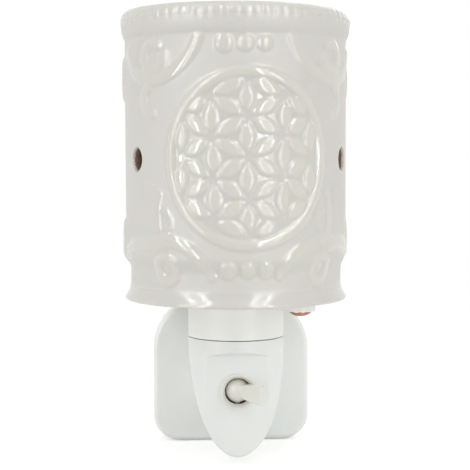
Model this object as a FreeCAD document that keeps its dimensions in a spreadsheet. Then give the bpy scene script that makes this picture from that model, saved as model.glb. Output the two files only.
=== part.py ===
"""Plug-in wax melt warmer, as a parametric document in millimetres.

The frame: +Z up, +X to the right seen from the room, +Y into the wall.
The origin is on the wall, at the middle of the plug plate.
The lamp axis, which the ceramic shade stands on, is in front of the plate.
"""

import FreeCAD, Part
import math
import os
import Sketcher

SIZES = [
    # Plug plate and its pins, to the British 13 A pattern
    ("plate_width", 54.0),
    ("plate_height", 50.0),
    ("plate_depth", 12.0),
    ("plate_low_corner", 9.0),
    ("plate_high_corner", 18.0),
    ("plate_edge_round", 1.6),
    ("plate_wall", 2.2),
    ("base_thickness", 3.8),
    ("pin_spacing", 22.2),
    ("pin_row_drop", 12.0),
    ("pin_row_to_shutter", 22.2),
    ("pin_width", 6.35),
    ("pin_thickness", 4.0),
    ("pin_length", 17.7),
    ("pin_core_inset", 0.6),
    ("pin_head_height", 6.4),
    ("pin_head_depth", 5.2),
    ("sleeve_length", 9.5),
    ("shutter_width", 4.0),
    ("shutter_height", 8.0),
    ("shutter_length", 22.7),
    ("shutter_flange", 1.4),
    ("clamp_screw_radius", 1.3),
    ("clamp_screw_rise", 1.1),
    # Lamp housing: the tongue under the collar, and its neck to the plate
    ("axis_to_wall", 40.0),
    ("housing_radius", 15.5),
    ("housing_wall", 2.0),
    ("housing_top", 15.4),
    ("tongue_tip_rise", 2.5),
    ("facet_depth", 3.6),
    ("facet_drop", 5.0),
    ("facet_slope", 1.6),
    ("facet_round", 1.0),
    ("neck_half_width", 9.0),
    ("neck_low", 12.0),
    ("neck_high", 14.0),
    ("boss_radius", 2.9),
    ("cover_screw_rise", 6.5),
    ("cover_screw_radius", 1.4),
    ("cover_head_radius", 2.5),
    ("cover_head_depth", 1.8),
    ("base_screw_out", 20.0),
    ("base_screw_drop", 4.0),
    ("base_screw_length", 6.5),
    # Socket collar, lampholder and the ring that clamps the shade carrier
    ("seam_gap", 0.3),
    ("fit_gap", 0.3),
    ("collar_over_plate", 0.6),
    ("collar_bore", 11.4),
    ("collar_ledge_depth", 4.6),
    ("collar_spigot", 2.8),
    ("holder_shoulder", 13.0),
    ("holder_skirt", 12.4),
    ("holder_skirt_height", 20.4),
    ("holder_mouth_radius", 10.4),
    ("holder_taper", 6.0),
    ("holder_floor", 3.0),
    ("holder_base_drop", 2.0),
    ("holder_base_wall", 2.1),
    ("shell_wall", 0.45),
    ("shell_foot", 3.4),
    ("shell_height", 14.0),
    ("contact_radius", 3.0),
    ("contact_height", 1.7),
    ("ring_radius", 16.2),
    ("ring_height", 4.0),
    ("ring_flutes", 18),
    ("flute_radius", 1.0),
    # Shade carrier, its two screws and nuts
    ("carrier_thickness", 2.4),
    ("carrier_hub", 17.6),
    ("carrier_width", 9.4),
    ("carrier_angle", 45.0),
    ("screw_circle", 27.0),
    ("screw_radius", 1.75),
    ("screw_head_radius", 3.45),
    ("screw_head_height", 1.8),
    ("screw_length", 11.5),
    ("screw_hole_gap", 0.2),
    ("nut_radius", 3.4),
    ("nut_height", 2.4),
    # Glazed ceramic shade
    ("shade_height", 93.0),
    ("body_radius", 35.6),
    ("shade_wall", 4.4),
    ("floor_thickness", 5.0),
    ("floor_opening", 19.0),
    ("foot_flare", 0.1),
    ("foot_round", 1.0),
    ("foot_band", 2.4),
    ("waist_height", 14.0),
    ("waist_round", 16.0),
    ("rim_flare", 1.5),
    ("rim_height", 10.2),
    ("rim_belly", 4.2),
    ("rim_lip", 1.6),
    ("mouth_wall", 3.7),
    ("mouth_depth", 7.0),
    # Moulded relief of the shade
    ("relief_height", 0.9),
    ("relief_root", 1.6),
    ("medallion_rise", 45.0),
    ("medallion_radius", 27.0),
    ("medallion_band", 3.1),
    ("petal_pitch", 12.9),
    ("petal_length", 11.4),
    ("petal_width", 3.9),
    ("bead_radius", 2.6),
    ("bead_pitch", 6.4),
    ("bead_rise", 1.0),
    ("high_bead_offset", 34.3),
    ("low_bead_offset", 33.6),
    ("scroll_band", 2.4),
    ("scroll_out", 31.5),
    ("sweep_rise", 42.0),
    ("sweep_radius", 17.6),
    ("curl_rise", 31.0),
    ("curl_radius", 4.3),
    ("hook_rise", 18.0),
    ("hook_radius", 4.7),
    ("vent_height", 7.0),
    ("vent_width", 5.6),
    ("vent_angle", 65.3),
    ("shade_angle", 2.3),
    # Wax dish
    ("dish_lip", 3.4),
    ("dish_wall", 3.0),
    ("dish_depth", 20.0),
    ("dish_bowl_gap", 1.0),
    ("dish_foot_radius", 12.0),
    ("dish_bowl_round", 26.0),
    ("dish_mouth_wall", 1.8),
    # Lamp with a small Edison screw cap
    ("bulb_radius", 14.0),
    ("bulb_length", 57.0),
    ("bulb_neck_radius", 6.0),
    ("bulb_wall", 0.6),
    ("bulb_shoulder", 38.5),
    ("bulb_neck_length", 22.0),
    ("cap_radius", 6.87),
    ("cap_wall", 0.4),
    ("cap_foot", 3.0),
    ("cap_length", 16.0),
    ("cap_clearance", 0.08),
    ("tip_radius", 2.3),
    ("tip_height", 0.9),
    ("tip_gap", 0.1),
    ("insulator_radius", 5.2),
    ("stem_radius", 2.0),
    ("stem_height", 17.0),
    ("filament_wire", 0.25),
    ("filament_span", 7.0),
    ("filament_rise", 6.0),
    # Toggle switch
    ("switch_drop", 1.1),
    ("switch_set_back", 3.4),
    ("bezel_radius", 5.8),
    ("bezel_rise", 0.8),
    ("bezel_hole", 4.25),
    ("bezel_flare", 5.15),
    ("bezel_barrel", 4.95),
    ("ball_radius", 4.0),
    ("lever_angle", 32.0),
    ("lever_length", 14.0),
    ("lever_root_height", 4.4),
    ("lever_tip_height", 6.3),
    ("lever_root_thickness", 2.8),
    ("lever_tip_thickness", 2.2),
    ("lever_round", 0.6),
    ("tail_radius", 1.7),
    ("tail_length", 5.0),
    ("plunger_radius", 0.9),
    ("plunger_reach", 6.0),
    ("plunger_bore_depth", 4.6),
    ("pivot_radius", 0.8),
    ("pivot_clearance", 0.05),
    ("frame_width", 13.0),
    ("frame_height", 18.0),
    ("frame_depth", 11.4),
    ("frame_wall", 1.4),
    ("frame_set_back", 0.2),
    ("rocker_width", 8.4),
    ("rocker_height", 5.0),
    ("rocker_thickness", 0.8),
    ("rocker_lift", 0.7),
    ("rocker_angle", 8.0),
    ("rocker_set_back", 6.8),
    ("rocker_pin_radius", 0.7),
    ("terminal_width", 3.0),
    ("terminal_thickness", 0.8),
    ("terminal_tail", 4.0),
    ("contact_offset", 3.4),
    ("contact_gap", 0.3),
    ("button_radius", 1.1),
    ("spring_wire", 0.15),
    ("spring_turns", 5),
    # Insulated leads inside the housing
    ("lead_radius", 0.8),
    ("lead_bend", 2.6),
    ("lead_lane", 4.5),
    ("neutral_rise", 6.0),
    ("neutral_lane_y", 34.0),
    ("switched_lane_y", 30.0),
    ("switched_end_y", 36.0),
    ("switched_rise", 8.0),
    ("switched_crest", 16.0),
    # One overrun for every cutting tool
    ("overrun", 1.0),
]

DOC = FreeCAD.newDocument("wax_melt_warmer")


class Size:
    """A length with its number and the sheet expression that gives it."""

    def __init__(self, number, text):
        self.number = float(number)
        self.text = text

    def __float__(self):
        return self.number

    def __add__(self, other):
        return joined(self, "+", other, self.number + float(other))

    def __radd__(self, other):
        return joined(other, "+", self, float(other) + self.number)

    def __sub__(self, other):
        return joined(self, "-", other, self.number - float(other))

    def __rsub__(self, other):
        return joined(other, "-", self, float(other) - self.number)

    def __mul__(self, other):
        return joined(self, "*", other, self.number * float(other))

    def __rmul__(self, other):
        return joined(other, "*", self, float(other) * self.number)

    def __truediv__(self, other):
        return joined(self, "/", other, self.number / float(other))

    def __neg__(self):
        return Size(-self.number, "(-%s)" % self.text)


def joined(left, sign, right, number):
    """The size that one sign makes of two others."""
    sides = [side.text if isinstance(side, Size) else repr(side) for side in (left, right)]
    return Size(number, "(%s %s %s)" % (sides[0], sign, sides[1]))


def size_sheet():
    """Writes the driving sizes into a sheet and returns them by name."""
    sheet = DOC.addObject("Spreadsheet::Sheet", "sizes")
    found = {}
    for row, (alias, number) in enumerate(SIZES, start=1):
        sheet.set("A%d" % row, alias)
        sheet.set("B%d" % row, str(number))
        sheet.setAlias("B%d" % row, alias)
        found[alias] = Size(number, "sizes.%s" % alias)
    DOC.recompute()
    return found


S = size_sheet()
ZERO = Size(0, "0")
NEAR = 1e-6 * float(S["plate_width"])


def sine(angle):
    return Size(math.sin(math.radians(float(angle))), "sin(%s)" % angle.text)


def cosine(angle):
    return Size(math.cos(math.radians(float(angle))), "cos(%s)" % angle.text)


def bind(piece, **sizes):
    """Binds properties of a piece to sizes."""
    for name, size in sizes.items():
        piece.setExpression(name, size.text)


def put(piece, x=ZERO, y=ZERO, z=ZERO):
    """Binds a piece's place to sizes."""
    for name, size in (("x", x), ("y", y), ("z", z)):
        if size is not ZERO:
            piece.setExpression("Placement.Base.%s" % name, size.text)
    return piece


def turned(piece, axis, degrees):
    """Turns a piece about an axis through its own origin."""
    piece.Placement.Rotation = FreeCAD.Rotation(FreeCAD.Vector(*axis), float(degrees))
    return piece


def named(piece, label):
    piece.Label = label
    return piece


# Places that several pieces share
AXIS_Y = -S["axis_to_wall"]
COLLAR_TOP = S["plate_height"] / 2 + S["collar_over_plate"]
COLLAR_LEDGE = COLLAR_TOP - S["collar_ledge_depth"]
CARRIER_TOP = COLLAR_TOP + S["carrier_thickness"]
FOOT = CARRIER_TOP
SHADE_TOP = FOOT + S["shade_height"]
FLOOR_TOP = FOOT + S["floor_thickness"]
SHADE_BORE = S["body_radius"] - S["shade_wall"]
RIM_RADIUS = S["body_radius"] + S["rim_flare"]
MOUTH_RADIUS = RIM_RADIUS - S["mouth_wall"]
LEDGE = SHADE_TOP - S["mouth_depth"]
MEDALLION_Z = FOOT + S["medallion_rise"]
HOUSING_BORE = S["housing_radius"] - S["housing_wall"]
TONGUE_TIP = S["tongue_tip_rise"] - S["plate_height"] / 2
HOUSING_REACH = S["housing_top"] - TONGUE_TIP
COVER_SCREW_Z = TONGUE_TIP + S["cover_screw_rise"]
FACET_Y = AXIS_Y - S["housing_radius"] + S["facet_depth"]
FACET_BACK_Y = FACET_Y + S["housing_wall"]
PLATE_FRONT = -S["plate_depth"]
CAVITY_FRONT = PLATE_FRONT + S["plate_wall"]
SWITCH_Z = -S["switch_drop"]
PIVOT_Y = FACET_Y + S["switch_set_back"]
FRAME_FRONT = FACET_BACK_Y + S["frame_set_back"]
FRAME_BACK = FRAME_FRONT + S["frame_depth"]
ROCKER_Y = PIVOT_Y + S["rocker_set_back"]
HOLDER_SEAT = COLLAR_TOP
TIP_Z = HOLDER_SEAT + S["contact_height"] + S["tip_gap"]
BULB_TOP = TIP_Z + S["bulb_length"]
CAP_LOW = TIP_Z + S["cap_foot"]
CAP_HIGH = CAP_LOW + S["cap_length"]


# Sketches and bodies

def new_body(name):
    return DOC.addObject("PartDesign::Body", name)


def new_sketch(body, plane):
    """A sketch on one of the body's own origin planes."""
    sketch = body.newObject("Sketcher::SketchObject", body.Name + "_sketch")
    base = [item for item in body.Origin.OriginFeatures if item.Role == plane][0]
    sketch.AttachmentSupport = (base, [""])
    sketch.MapMode = "FlatFace"
    return sketch


def flat(corner):
    return FreeCAD.Vector(float(corner[0]), float(corner[1]), 0)


def arc_between(here, there, radius):
    """The short arc from here to there; a negative radius runs clockwise."""
    start, end = flat(here), flat(there)
    if float(radius) < 0:
        start, end = end, start
    along = end - start
    reach = abs(float(radius))
    rise = math.sqrt(max(reach ** 2 - (along.Length / 2) ** 2, 0))
    left = FreeCAD.Vector(-along.y, along.x, 0).normalize()
    centre = (start + end) * 0.5 + left * rise
    angles = [math.atan2(point.y - centre.y, point.x - centre.x) for point in (start, end)]
    circle = Part.Circle(centre, FreeCAD.Vector(0, 0, 1), reach)
    return Part.ArcOfCircle(circle, angles[0], angles[1])


def hold(sketch, edge, point, corner):
    """Holds a point of an edge at its two distances from the sketch's origin."""
    for kind, axis, size in (("DistanceX", -2, corner[0]), ("DistanceY", -1, corner[1])):
        if size is ZERO:
            sketch.addConstraint(Sketcher.Constraint("PointOnObject", edge, point, axis))
            continue
        held = Sketcher.Constraint(kind, -1, 1, edge, point, float(size))
        number = sketch.addConstraint(held)
        sketch.setExpression("Constraints[%d]" % number, size.text)


def outline(sketch, corners, rounds=None):
    """Closes a loop through the corners; rounds gives the radius of an edge that is an arc."""
    rounds = rounds or {}
    first = sketch.GeometryCount
    count = len(corners)
    ends = []
    for index, here in enumerate(corners):
        there = corners[(index + 1) % count]
        if index in rounds:
            edge = sketch.addGeometry(arc_between(here, there, rounds[index]), False)
            ends.append((2, 1) if float(rounds[index]) < 0 else (1, 2))
        else:
            edge = sketch.addGeometry(Part.LineSegment(flat(here), flat(there)), False)
            ends.append((1, 2))
    for index in range(count):
        after = (index + 1) % count
        met = Sketcher.Constraint("Coincident", first + index, ends[index][1],
                                  first + after, ends[after][0])
        sketch.addConstraint(met)
    for index, corner in enumerate(corners):
        hold(sketch, first + index, ends[index][0], corner)
    for index, radius in rounds.items():
        size = -radius if float(radius) < 0 else radius
        number = sketch.addConstraint(Sketcher.Constraint("Radius", first + index, float(size)))
        sketch.setExpression("Constraints[%d]" % number, size.text)


def ring_of(sketch, x, y, radius):
    """A full circle at a held centre."""
    circle = Part.Circle(flat((x, y)), FreeCAD.Vector(0, 0, 1), float(radius))
    edge = sketch.addGeometry(circle, False)
    number = sketch.addConstraint(Sketcher.Constraint("Radius", edge, float(radius)))
    sketch.setExpression("Constraints[%d]" % number, radius.text)
    hold(sketch, edge, 3, (x, y))


def rectangle(sketch, low, high):
    outline(sketch, [low, (high[0], low[1]), high, (low[0], high[1])])


def lathe(name, corners, rounds=None):
    """A body turned about the upright axis through its own origin."""
    body = new_body(name)
    sketch = new_sketch(body, "XZ_Plane")
    outline(sketch, corners, rounds)
    turn = body.newObject("PartDesign::Revolution", name + "_turned")
    turn.Profile = sketch
    turn.ReferenceAxis = (sketch, ["V_Axis"])
    turn.Angle = 360
    body.Tip = turn
    return body


def pad(body, sketch, length, back=False):
    feature = body.newObject("PartDesign::Pad", sketch.Name + "_pad")
    feature.Profile = sketch
    feature.Reversed = back
    bind(feature, Length=length)
    body.Tip = feature
    return feature


def pocket(body, sketch, length, back=False):
    feature = body.newObject("PartDesign::Pocket", sketch.Name + "_pocket")
    feature.Profile = sketch
    feature.Reversed = back
    bind(feature, Length=length)
    body.Tip = feature
    return feature


# Primitives and booleans

def box(name, low, high):
    piece = DOC.addObject("Part::Box", name)
    bind(piece, Length=high[0] - low[0], Width=high[1] - low[1], Height=high[2] - low[2])
    return put(piece, *low)


def upright(name, radius, low, high, x=ZERO, y=ZERO):
    piece = DOC.addObject("Part::Cylinder", name)
    bind(piece, Radius=radius, Height=high - low)
    return put(piece, x, y, low)


def inward(name, radius, front, back, x=ZERO, z=ZERO):
    """A cylinder that runs from the room towards the wall."""
    piece = DOC.addObject("Part::Cylinder", name)
    bind(piece, Radius=radius, Height=back - front)
    turned(piece, (1, 0, 0), -90)
    return put(piece, x, front, z)


def cut(name, base, tool):
    piece = DOC.addObject("Part::Cut", name)
    piece.Base = base
    piece.Tool = tool
    return piece


def common(name, *pieces):
    piece = DOC.addObject("Part::MultiCommon", name)
    piece.Shapes = list(pieces)
    return piece


def fuse(name, *pieces):
    piece = DOC.addObject("Part::MultiFuse", name)
    piece.Shapes = list(pieces)
    return piece


def group(name, *pieces):
    piece = DOC.addObject("Part::Compound", name)
    piece.Links = list(pieces)
    return piece


def made(name, shape):
    """A piece whose shape is worked out from the sheet's sizes here."""
    piece = DOC.addObject("Part::Feature", name)
    piece.Shape = shape
    return piece


# Glazed ceramic shade

def shade_turned():
    """The thrown form: flared foot, waist, straight wall, rolled rim, floor flange and ledge."""
    foot = S["body_radius"] + S["foot_flare"]
    top = SHADE_TOP
    waist_top = FOOT + S["waist_height"]
    rim_low = top - S["rim_height"]
    corners = [
        (S["floor_opening"], FOOT),
        (foot - S["foot_round"], FOOT),
        (foot, FOOT + S["foot_round"]),
        (foot, FOOT + S["foot_band"]),
        (S["body_radius"], waist_top),
        (S["body_radius"], rim_low),
        (RIM_RADIUS, top - S["rim_belly"]),
        (RIM_RADIUS - S["rim_lip"], top),
        (MOUTH_RADIUS + S["rim_lip"] / 2, top),
        (MOUTH_RADIUS, top - S["rim_lip"] / 2),
        (MOUTH_RADIUS, LEDGE),
        (SHADE_BORE, LEDGE),
        (SHADE_BORE, FLOOR_TOP),
        (S["floor_opening"], FLOOR_TOP),
    ]
    rounds = {1: S["foot_round"] * 1.05, 3: -S["waist_round"], 5: S["rim_height"],
              6: S["rim_belly"] * 1.1, 8: S["rim_lip"] * 0.7}
    return put(lathe("shade_turned", corners, rounds), y=AXIS_Y)


def facing_prism(edges, depth):
    """A closed flat outline in front of the lamp axis, driven back by a depth."""
    face = Part.Face(Part.Wire(edges))
    return face.extrude(FreeCAD.Vector(0, depth, 0))


def lens_edges(length, width, front):
    """A leaf outline with two pointed ends, upright, in the plane y = front."""
    half, side = length / 2, width / 2
    low, high = FreeCAD.Vector(0, front, -half), FreeCAD.Vector(0, front, half)
    right, left = FreeCAD.Vector(side, front, 0), FreeCAD.Vector(-side, front, 0)
    return [Part.Arc(low, right, high).toShape(), Part.Arc(high, left, low).toShape()]


def around(shape, turn):
    """The shape turned about the lamp axis, while that is still the origin."""
    copy = shape.copy()
    copy.rotate(FreeCAD.Vector(0, 0, 0), FreeCAD.Vector(0, 0, 1), turn)
    return copy


def lattice_edges(pitch, rings):
    """Middle and slant of every edge between neighbouring points of a six-fold lattice."""
    column = pitch * math.sqrt(3) / 2
    points = {}
    for across in range(-rings, rings + 1):
        count = 2 * rings + 1 - abs(across)
        for step in range(count):
            points[(across, 2 * step - count + 1)] = (across * column,
                                                      (step - (count - 1) / 2) * pitch)
    edges = []
    for (across, rise), (x, z) in points.items():
        for side, climb, slant in ((0, 2, 0), (1, 1, -60), (1, -1, -120)):
            if (across + side, rise + climb) in points:
                other = points[(across + side, rise + climb)]
                edges.append(((x + other[0]) / 2, (z + other[1]) / 2, slant))
    return edges


def petal_prisms(front, depth):
    """The leaves of the medallion, each square to the wall it stands on."""
    leaf = facing_prism(lens_edges(float(S["petal_length"]), float(S["petal_width"]), front), depth)
    prisms = []
    for x, z, slant in lattice_edges(float(S["petal_pitch"]), 2):
        petal = leaf.copy()
        petal.rotate(FreeCAD.Vector(0, 0, 0), FreeCAD.Vector(0, -1, 0), slant)
        petal.translate(FreeCAD.Vector(0, 0, z))
        prisms.append(around(petal, math.degrees(x / float(S["body_radius"]))))
    return prisms


def ellipse_wire(half_width, half_height, front):
    """An ellipse that faces the room."""
    if half_height > half_width:
        ellipse = Part.Ellipse(FreeCAD.Vector(0, front, half_height),
                               FreeCAD.Vector(half_width, front, 0), FreeCAD.Vector(0, front, 0))
    else:
        ellipse = Part.Ellipse(FreeCAD.Vector(half_width, front, 0),
                               FreeCAD.Vector(0, front, half_height), FreeCAD.Vector(0, front, 0))
    return Part.Wire([ellipse.toShape()])


def ring_prism(front, depth):
    """The medallion's border, a circle wrapped on the wall and so narrower than it is high."""
    body = float(S["body_radius"])
    wires = []
    for radius in (float(S["medallion_radius"]), float(S["medallion_radius"] - S["medallion_band"])):
        wires.append(ellipse_wire(body * math.sin(radius / body), radius, front))
    faces = [Part.Face(wire).extrude(FreeCAD.Vector(0, depth, 0)) for wire in wires]
    return faces[0].cut(faces[1])


def arc_band(rise, radius, first, last, front, depth):
    """A band along an arc that faces the room, with round ends; angles in degrees."""
    half = float(S["scroll_band"]) / 2

    def at(reach, angle):
        return FreeCAD.Vector(reach * math.cos(math.radians(angle)), front,
                              rise + reach * math.sin(math.radians(angle)))

    middle = (first + last) / 2
    inner, outer = radius - half, radius + half
    sweep = 1 if last > first else -1
    tip = math.degrees(half / radius) * sweep
    edges = [
        Part.Arc(at(outer, first), at(outer, middle), at(outer, last)),
        Part.Arc(at(outer, last), at(radius, last + tip), at(inner, last)),
        Part.Arc(at(inner, last), at(inner, middle), at(inner, first)),
        Part.Arc(at(inner, first), at(radius, first - tip), at(outer, first)),
    ]
    return facing_prism([edge.toShape() for edge in edges], depth)


def scroll_prisms(front, depth):
    """The scrolls of the four corners: a wide sweep, a curl in it and a hook beside the ring."""
    sweep_rise, curl_rise, hook_rise = (float(S[name]) for name in
                                        ("sweep_rise", "curl_rise", "hook_rise"))
    corner = [
        arc_band(sweep_rise, float(S["sweep_radius"]), 210, 322, front, depth),
        arc_band(curl_rise, float(S["curl_radius"]), 270, 0, front, depth),
        arc_band(hook_rise, float(S["hook_radius"]), 110, 260, front, depth),
    ]
    out = math.degrees(float(S["scroll_out"]) / float(S["body_radius"]))
    middle = FreeCAD.Vector(0, 0, 0)
    prisms = []
    for band in corner:
        for low in (band, band.mirror(middle, FreeCAD.Vector(0, 0, 1))):
            prisms.append(around(low, -out))
            prisms.append(around(low.mirror(middle, FreeCAD.Vector(1, 0, 0)), out))
    return prisms


def bead_balls():
    """Three beads above the medallion and three below it."""
    radius = float(S["bead_radius"])
    reach = float(S["body_radius"] + S["bead_rise"]) - radius
    balls = []
    for rise in (float(S["high_bead_offset"]), -float(S["low_bead_offset"])):
        for step in (-1, 0, 1):
            ball = Part.makeSphere(radius, FreeCAD.Vector(0, -reach, rise))
            balls.append(around(ball, math.degrees(step * float(S["bead_pitch"]) / reach)))
    return balls


def shade_relief():
    """Medallion, scrolls and beads, the same on the front and on the back."""
    outer = float(S["body_radius"] + S["relief_height"])
    inner = float(S["body_radius"] - S["relief_root"])
    half = float(S["shade_height"])
    base = FreeCAD.Vector(0, 0, -half)
    skin = Part.makeCylinder(outer, 2 * half, base).cut(Part.makeCylinder(inner, 2 * half, base))
    front = -outer - float(S["overrun"])
    depth = float(S["body_radius"]) / 2
    prisms = petal_prisms(front, depth) + [ring_prism(front, depth)] + scroll_prisms(front, depth)
    bands = prisms[0].fuse(prisms[1:]).common(skin)
    raised = bands.Solids + bead_balls()
    face = raised[0].fuse(raised[1:])
    turn = float(S["shade_angle"])
    relief = Part.makeCompound([around(face, turn), around(face, turn + 180)])
    return put(made("shade_relief", relief), y=AXIS_Y, z=MEDALLION_Z)


def shade_vents():
    """Leaf-shaped holes that let the warm air out at the sides."""
    depth = float(RIM_RADIUS) / 2
    front = -float(RIM_RADIUS + S["overrun"])
    leaf = facing_prism(lens_edges(float(S["vent_height"]), float(S["vent_width"]), front), depth)
    turns = [side * turn for side in (-1, 1) for turn in
             (float(S["vent_angle"]), 180 - float(S["vent_angle"]))]
    vents = Part.makeCompound([around(leaf, turn + float(S["shade_angle"])) for turn in turns])
    return put(made("shade_vents", vents), y=AXIS_Y, z=MEDALLION_Z)


def carrier_places():
    """The two screw places, as shares of the screw circle along x and y."""
    return [(side * cosine(S["carrier_angle"]), -side * sine(S["carrier_angle"])) for side in (1, -1)]


def screw_point(place):
    return place[0] * S["screw_circle"], AXIS_Y + place[1] * S["screw_circle"]


def shade():
    holes = []
    for index, place in enumerate(carrier_places()):
        x, y = screw_point(place)
        hole = upright("shade_screw_hole_%d" % index, S["screw_radius"] + S["screw_hole_gap"],
                       FOOT - S["overrun"], FLOOR_TOP + S["overrun"], x, y)
        holes.append(hole)
    raised = fuse("shade_moulded", shade_turned(), shade_relief())
    return cut("shade", raised, fuse("shade_holes", shade_vents(), *holes))


# Wax dish, which rests on the ledge inside the mouth of the shade

def wax_dish():
    under = LEDGE + S["fit_gap"]
    lip_top = under + S["dish_lip"]
    base = lip_top - S["dish_depth"]
    lip = MOUTH_RADIUS - S["fit_gap"]
    bowl = SHADE_BORE - S["dish_bowl_gap"]
    mouth = bowl - S["dish_mouth_wall"]
    round_off = S["dish_lip"] / 4
    corners = [
        (ZERO, base),
        (S["dish_foot_radius"], base),
        (bowl, under - round_off),
        (bowl, under),
        (lip, under),
        (lip, lip_top - round_off),
        (lip - round_off, lip_top),
        (mouth + round_off, lip_top),
        (mouth, lip_top - round_off),
        (S["dish_foot_radius"] - S["dish_wall"], base + S["dish_wall"]),
        (ZERO, base + S["dish_wall"]),
    ]
    rounds = {1: S["dish_bowl_round"], 5: round_off, 7: round_off,
              8: -(S["dish_bowl_round"] - S["dish_wall"])}
    return put(lathe("wax_dish", corners, rounds), y=AXIS_Y)


# Lamp

def bulb_glass():
    """The pear-shaped envelope, open at the neck where the stem is sealed in."""
    outer, inner = [], []
    shoulder = TIP_Z + S["bulb_shoulder"]
    neck_top = TIP_Z + S["bulb_neck_length"]
    neck_low = CAP_HIGH - S["cap_foot"]
    belly_top = BULB_TOP - S["bulb_radius"]
    for skin, points in ((ZERO, outer), (S["bulb_wall"], inner)):
        points.append((S["bulb_neck_radius"] - skin, neck_low))
        points.append((S["bulb_neck_radius"] - skin, neck_top))
        points.append((S["bulb_radius"] - skin, shoulder))
        points.append((S["bulb_radius"] - skin, belly_top))
        points.append((ZERO, BULB_TOP - skin))
    corners = outer + inner[::-1]
    rounds = {3: S["bulb_radius"], 5: -(S["bulb_radius"] - S["bulb_wall"])}
    return put(lathe("bulb_glass", corners, rounds), y=AXIS_Y)


def bulb_cap():
    """Small Edison screw shell, rolled in where it meets its glass insulator."""
    wall = S["cap_wall"]
    corners = [
        (S["insulator_radius"], CAP_LOW),
        (S["cap_radius"] - wall, CAP_LOW),
        (S["cap_radius"], CAP_LOW + wall),
        (S["cap_radius"], CAP_HIGH),
        (S["cap_radius"] - wall, CAP_HIGH),
        (S["cap_radius"] - wall, CAP_LOW + wall),
        (S["insulator_radius"], CAP_LOW + wall),
    ]
    return put(lathe("bulb_cap", corners), y=AXIS_Y)


def bulb_insulator():
    corners = [
        (ZERO, TIP_Z + S["tip_height"]),
        (S["tip_radius"] + S["tip_height"], TIP_Z + S["tip_height"]),
        (S["insulator_radius"], CAP_LOW),
        (S["insulator_radius"], CAP_LOW + S["cap_wall"]),
        (ZERO, CAP_LOW + S["cap_wall"]),
    ]
    return put(lathe("bulb_insulator", corners), y=AXIS_Y)


def bulb_tip_contact():
    corners = [
        (ZERO, TIP_Z),
        (S["tip_radius"] - S["tip_height"], TIP_Z),
        (S["tip_radius"], TIP_Z + S["tip_height"]),
        (ZERO, TIP_Z + S["tip_height"]),
    ]
    return put(lathe("bulb_tip_contact", corners, {1: S["tip_height"] * 1.2}), y=AXIS_Y)


def bulb_stem():
    """The glass foot: a flare sealed to the neck, and the rod that holds the wires."""
    low = CAP_HIGH - S["cap_foot"]
    flare = S["bulb_neck_radius"] - S["bulb_wall"]
    corners = [
        (ZERO, low),
        (flare, low),
        (flare, low + S["bulb_wall"]),
        (S["stem_radius"], low + S["stem_radius"] * 2),
        (S["stem_radius"], low + S["stem_height"]),
        (ZERO, low + S["stem_height"]),
    ]
    return put(lathe("bulb_stem", corners), y=AXIS_Y)


def run_with_bends(points, bend):
    """A wire through the points, its corners rounded to a bend radius."""
    edges = []
    start = points[0]
    for index in range(1, len(points) - 1):
        before = (points[index - 1] - points[index]).normalize()
        after = (points[index + 1] - points[index]).normalize()
        half = before.getAngle(after) / 2
        back = bend / math.tan(half)
        first = points[index] + before * back
        last = points[index] + after * back
        toward = (before + after).normalize()
        middle = points[index] + toward * (bend / math.sin(half) - bend)
        edges.append(Part.LineSegment(start, first).toShape())
        edges.append(Part.Arc(first, middle, last).toShape())
        start = last
    edges.append(Part.LineSegment(start, points[-1]).toShape())
    return Part.Wire(edges)


def tube_along(points, radius, bend):
    """A round solid along a route with bends."""
    spine = run_with_bends(points, bend)
    along = points[1] - points[0]
    section = Part.Wire([Part.Circle(points[0], along, radius).toShape()])
    return spine.makePipeShell([section], True, False)


def point(x, y, z):
    return FreeCAD.Vector(float(x), float(y), float(z))


def bulb_filament():
    """Two lead-in wires that rise from the stem, and the filament bowed between them."""
    foot = CAP_HIGH - S["cap_foot"] + S["stem_height"]
    low = foot + S["filament_wire"]
    high = foot + S["filament_rise"]
    half = S["filament_span"] / 2
    root = S["stem_radius"] / 2
    wire, bend = float(S["filament_wire"]), float(S["filament_wire"]) * 4
    route = [point(-root, ZERO, foot), point(-root, ZERO, low + S["filament_wire"] * 5),
             point(-half, ZERO, high), point(ZERO, -root, high + root),
             point(half, ZERO, high), point(root, ZERO, low + S["filament_wire"] * 5),
             point(root, ZERO, foot)]
    return put(made("bulb_filament", tube_along(route, wire, bend)), y=AXIS_Y)


# Lampholder, the collar it stands in, and the ring that clamps the carrier

def holder_body():
    """Moulded lampholder: a base in the collar, a shoulder on its ledge and a threaded skirt."""
    base = COLLAR_LEDGE - S["holder_base_drop"]
    floor = HOLDER_SEAT - S["holder_floor"]
    skirt = S["holder_skirt"]
    bore = S["cap_radius"] + S["cap_clearance"] + S["shell_wall"]
    mouth = HOLDER_SEAT + S["holder_skirt_height"]
    corners = [
        (ZERO, floor),
        (S["collar_bore"] - S["fit_gap"] - S["holder_base_wall"], floor),
        (S["collar_bore"] - S["fit_gap"] - S["holder_base_wall"], base),
        (S["collar_bore"] - S["fit_gap"], base),
        (S["collar_bore"] - S["fit_gap"], COLLAR_LEDGE),
        (S["holder_shoulder"], COLLAR_LEDGE),
        (S["holder_shoulder"], COLLAR_TOP),
        (skirt, COLLAR_TOP),
        (skirt, mouth - S["holder_taper"]),
        (S["holder_mouth_radius"], mouth),
        (bore, mouth),
        (bore, HOLDER_SEAT),
        (ZERO, HOLDER_SEAT),
    ]
    return put(lathe("holder_body", corners), y=AXIS_Y)


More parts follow.
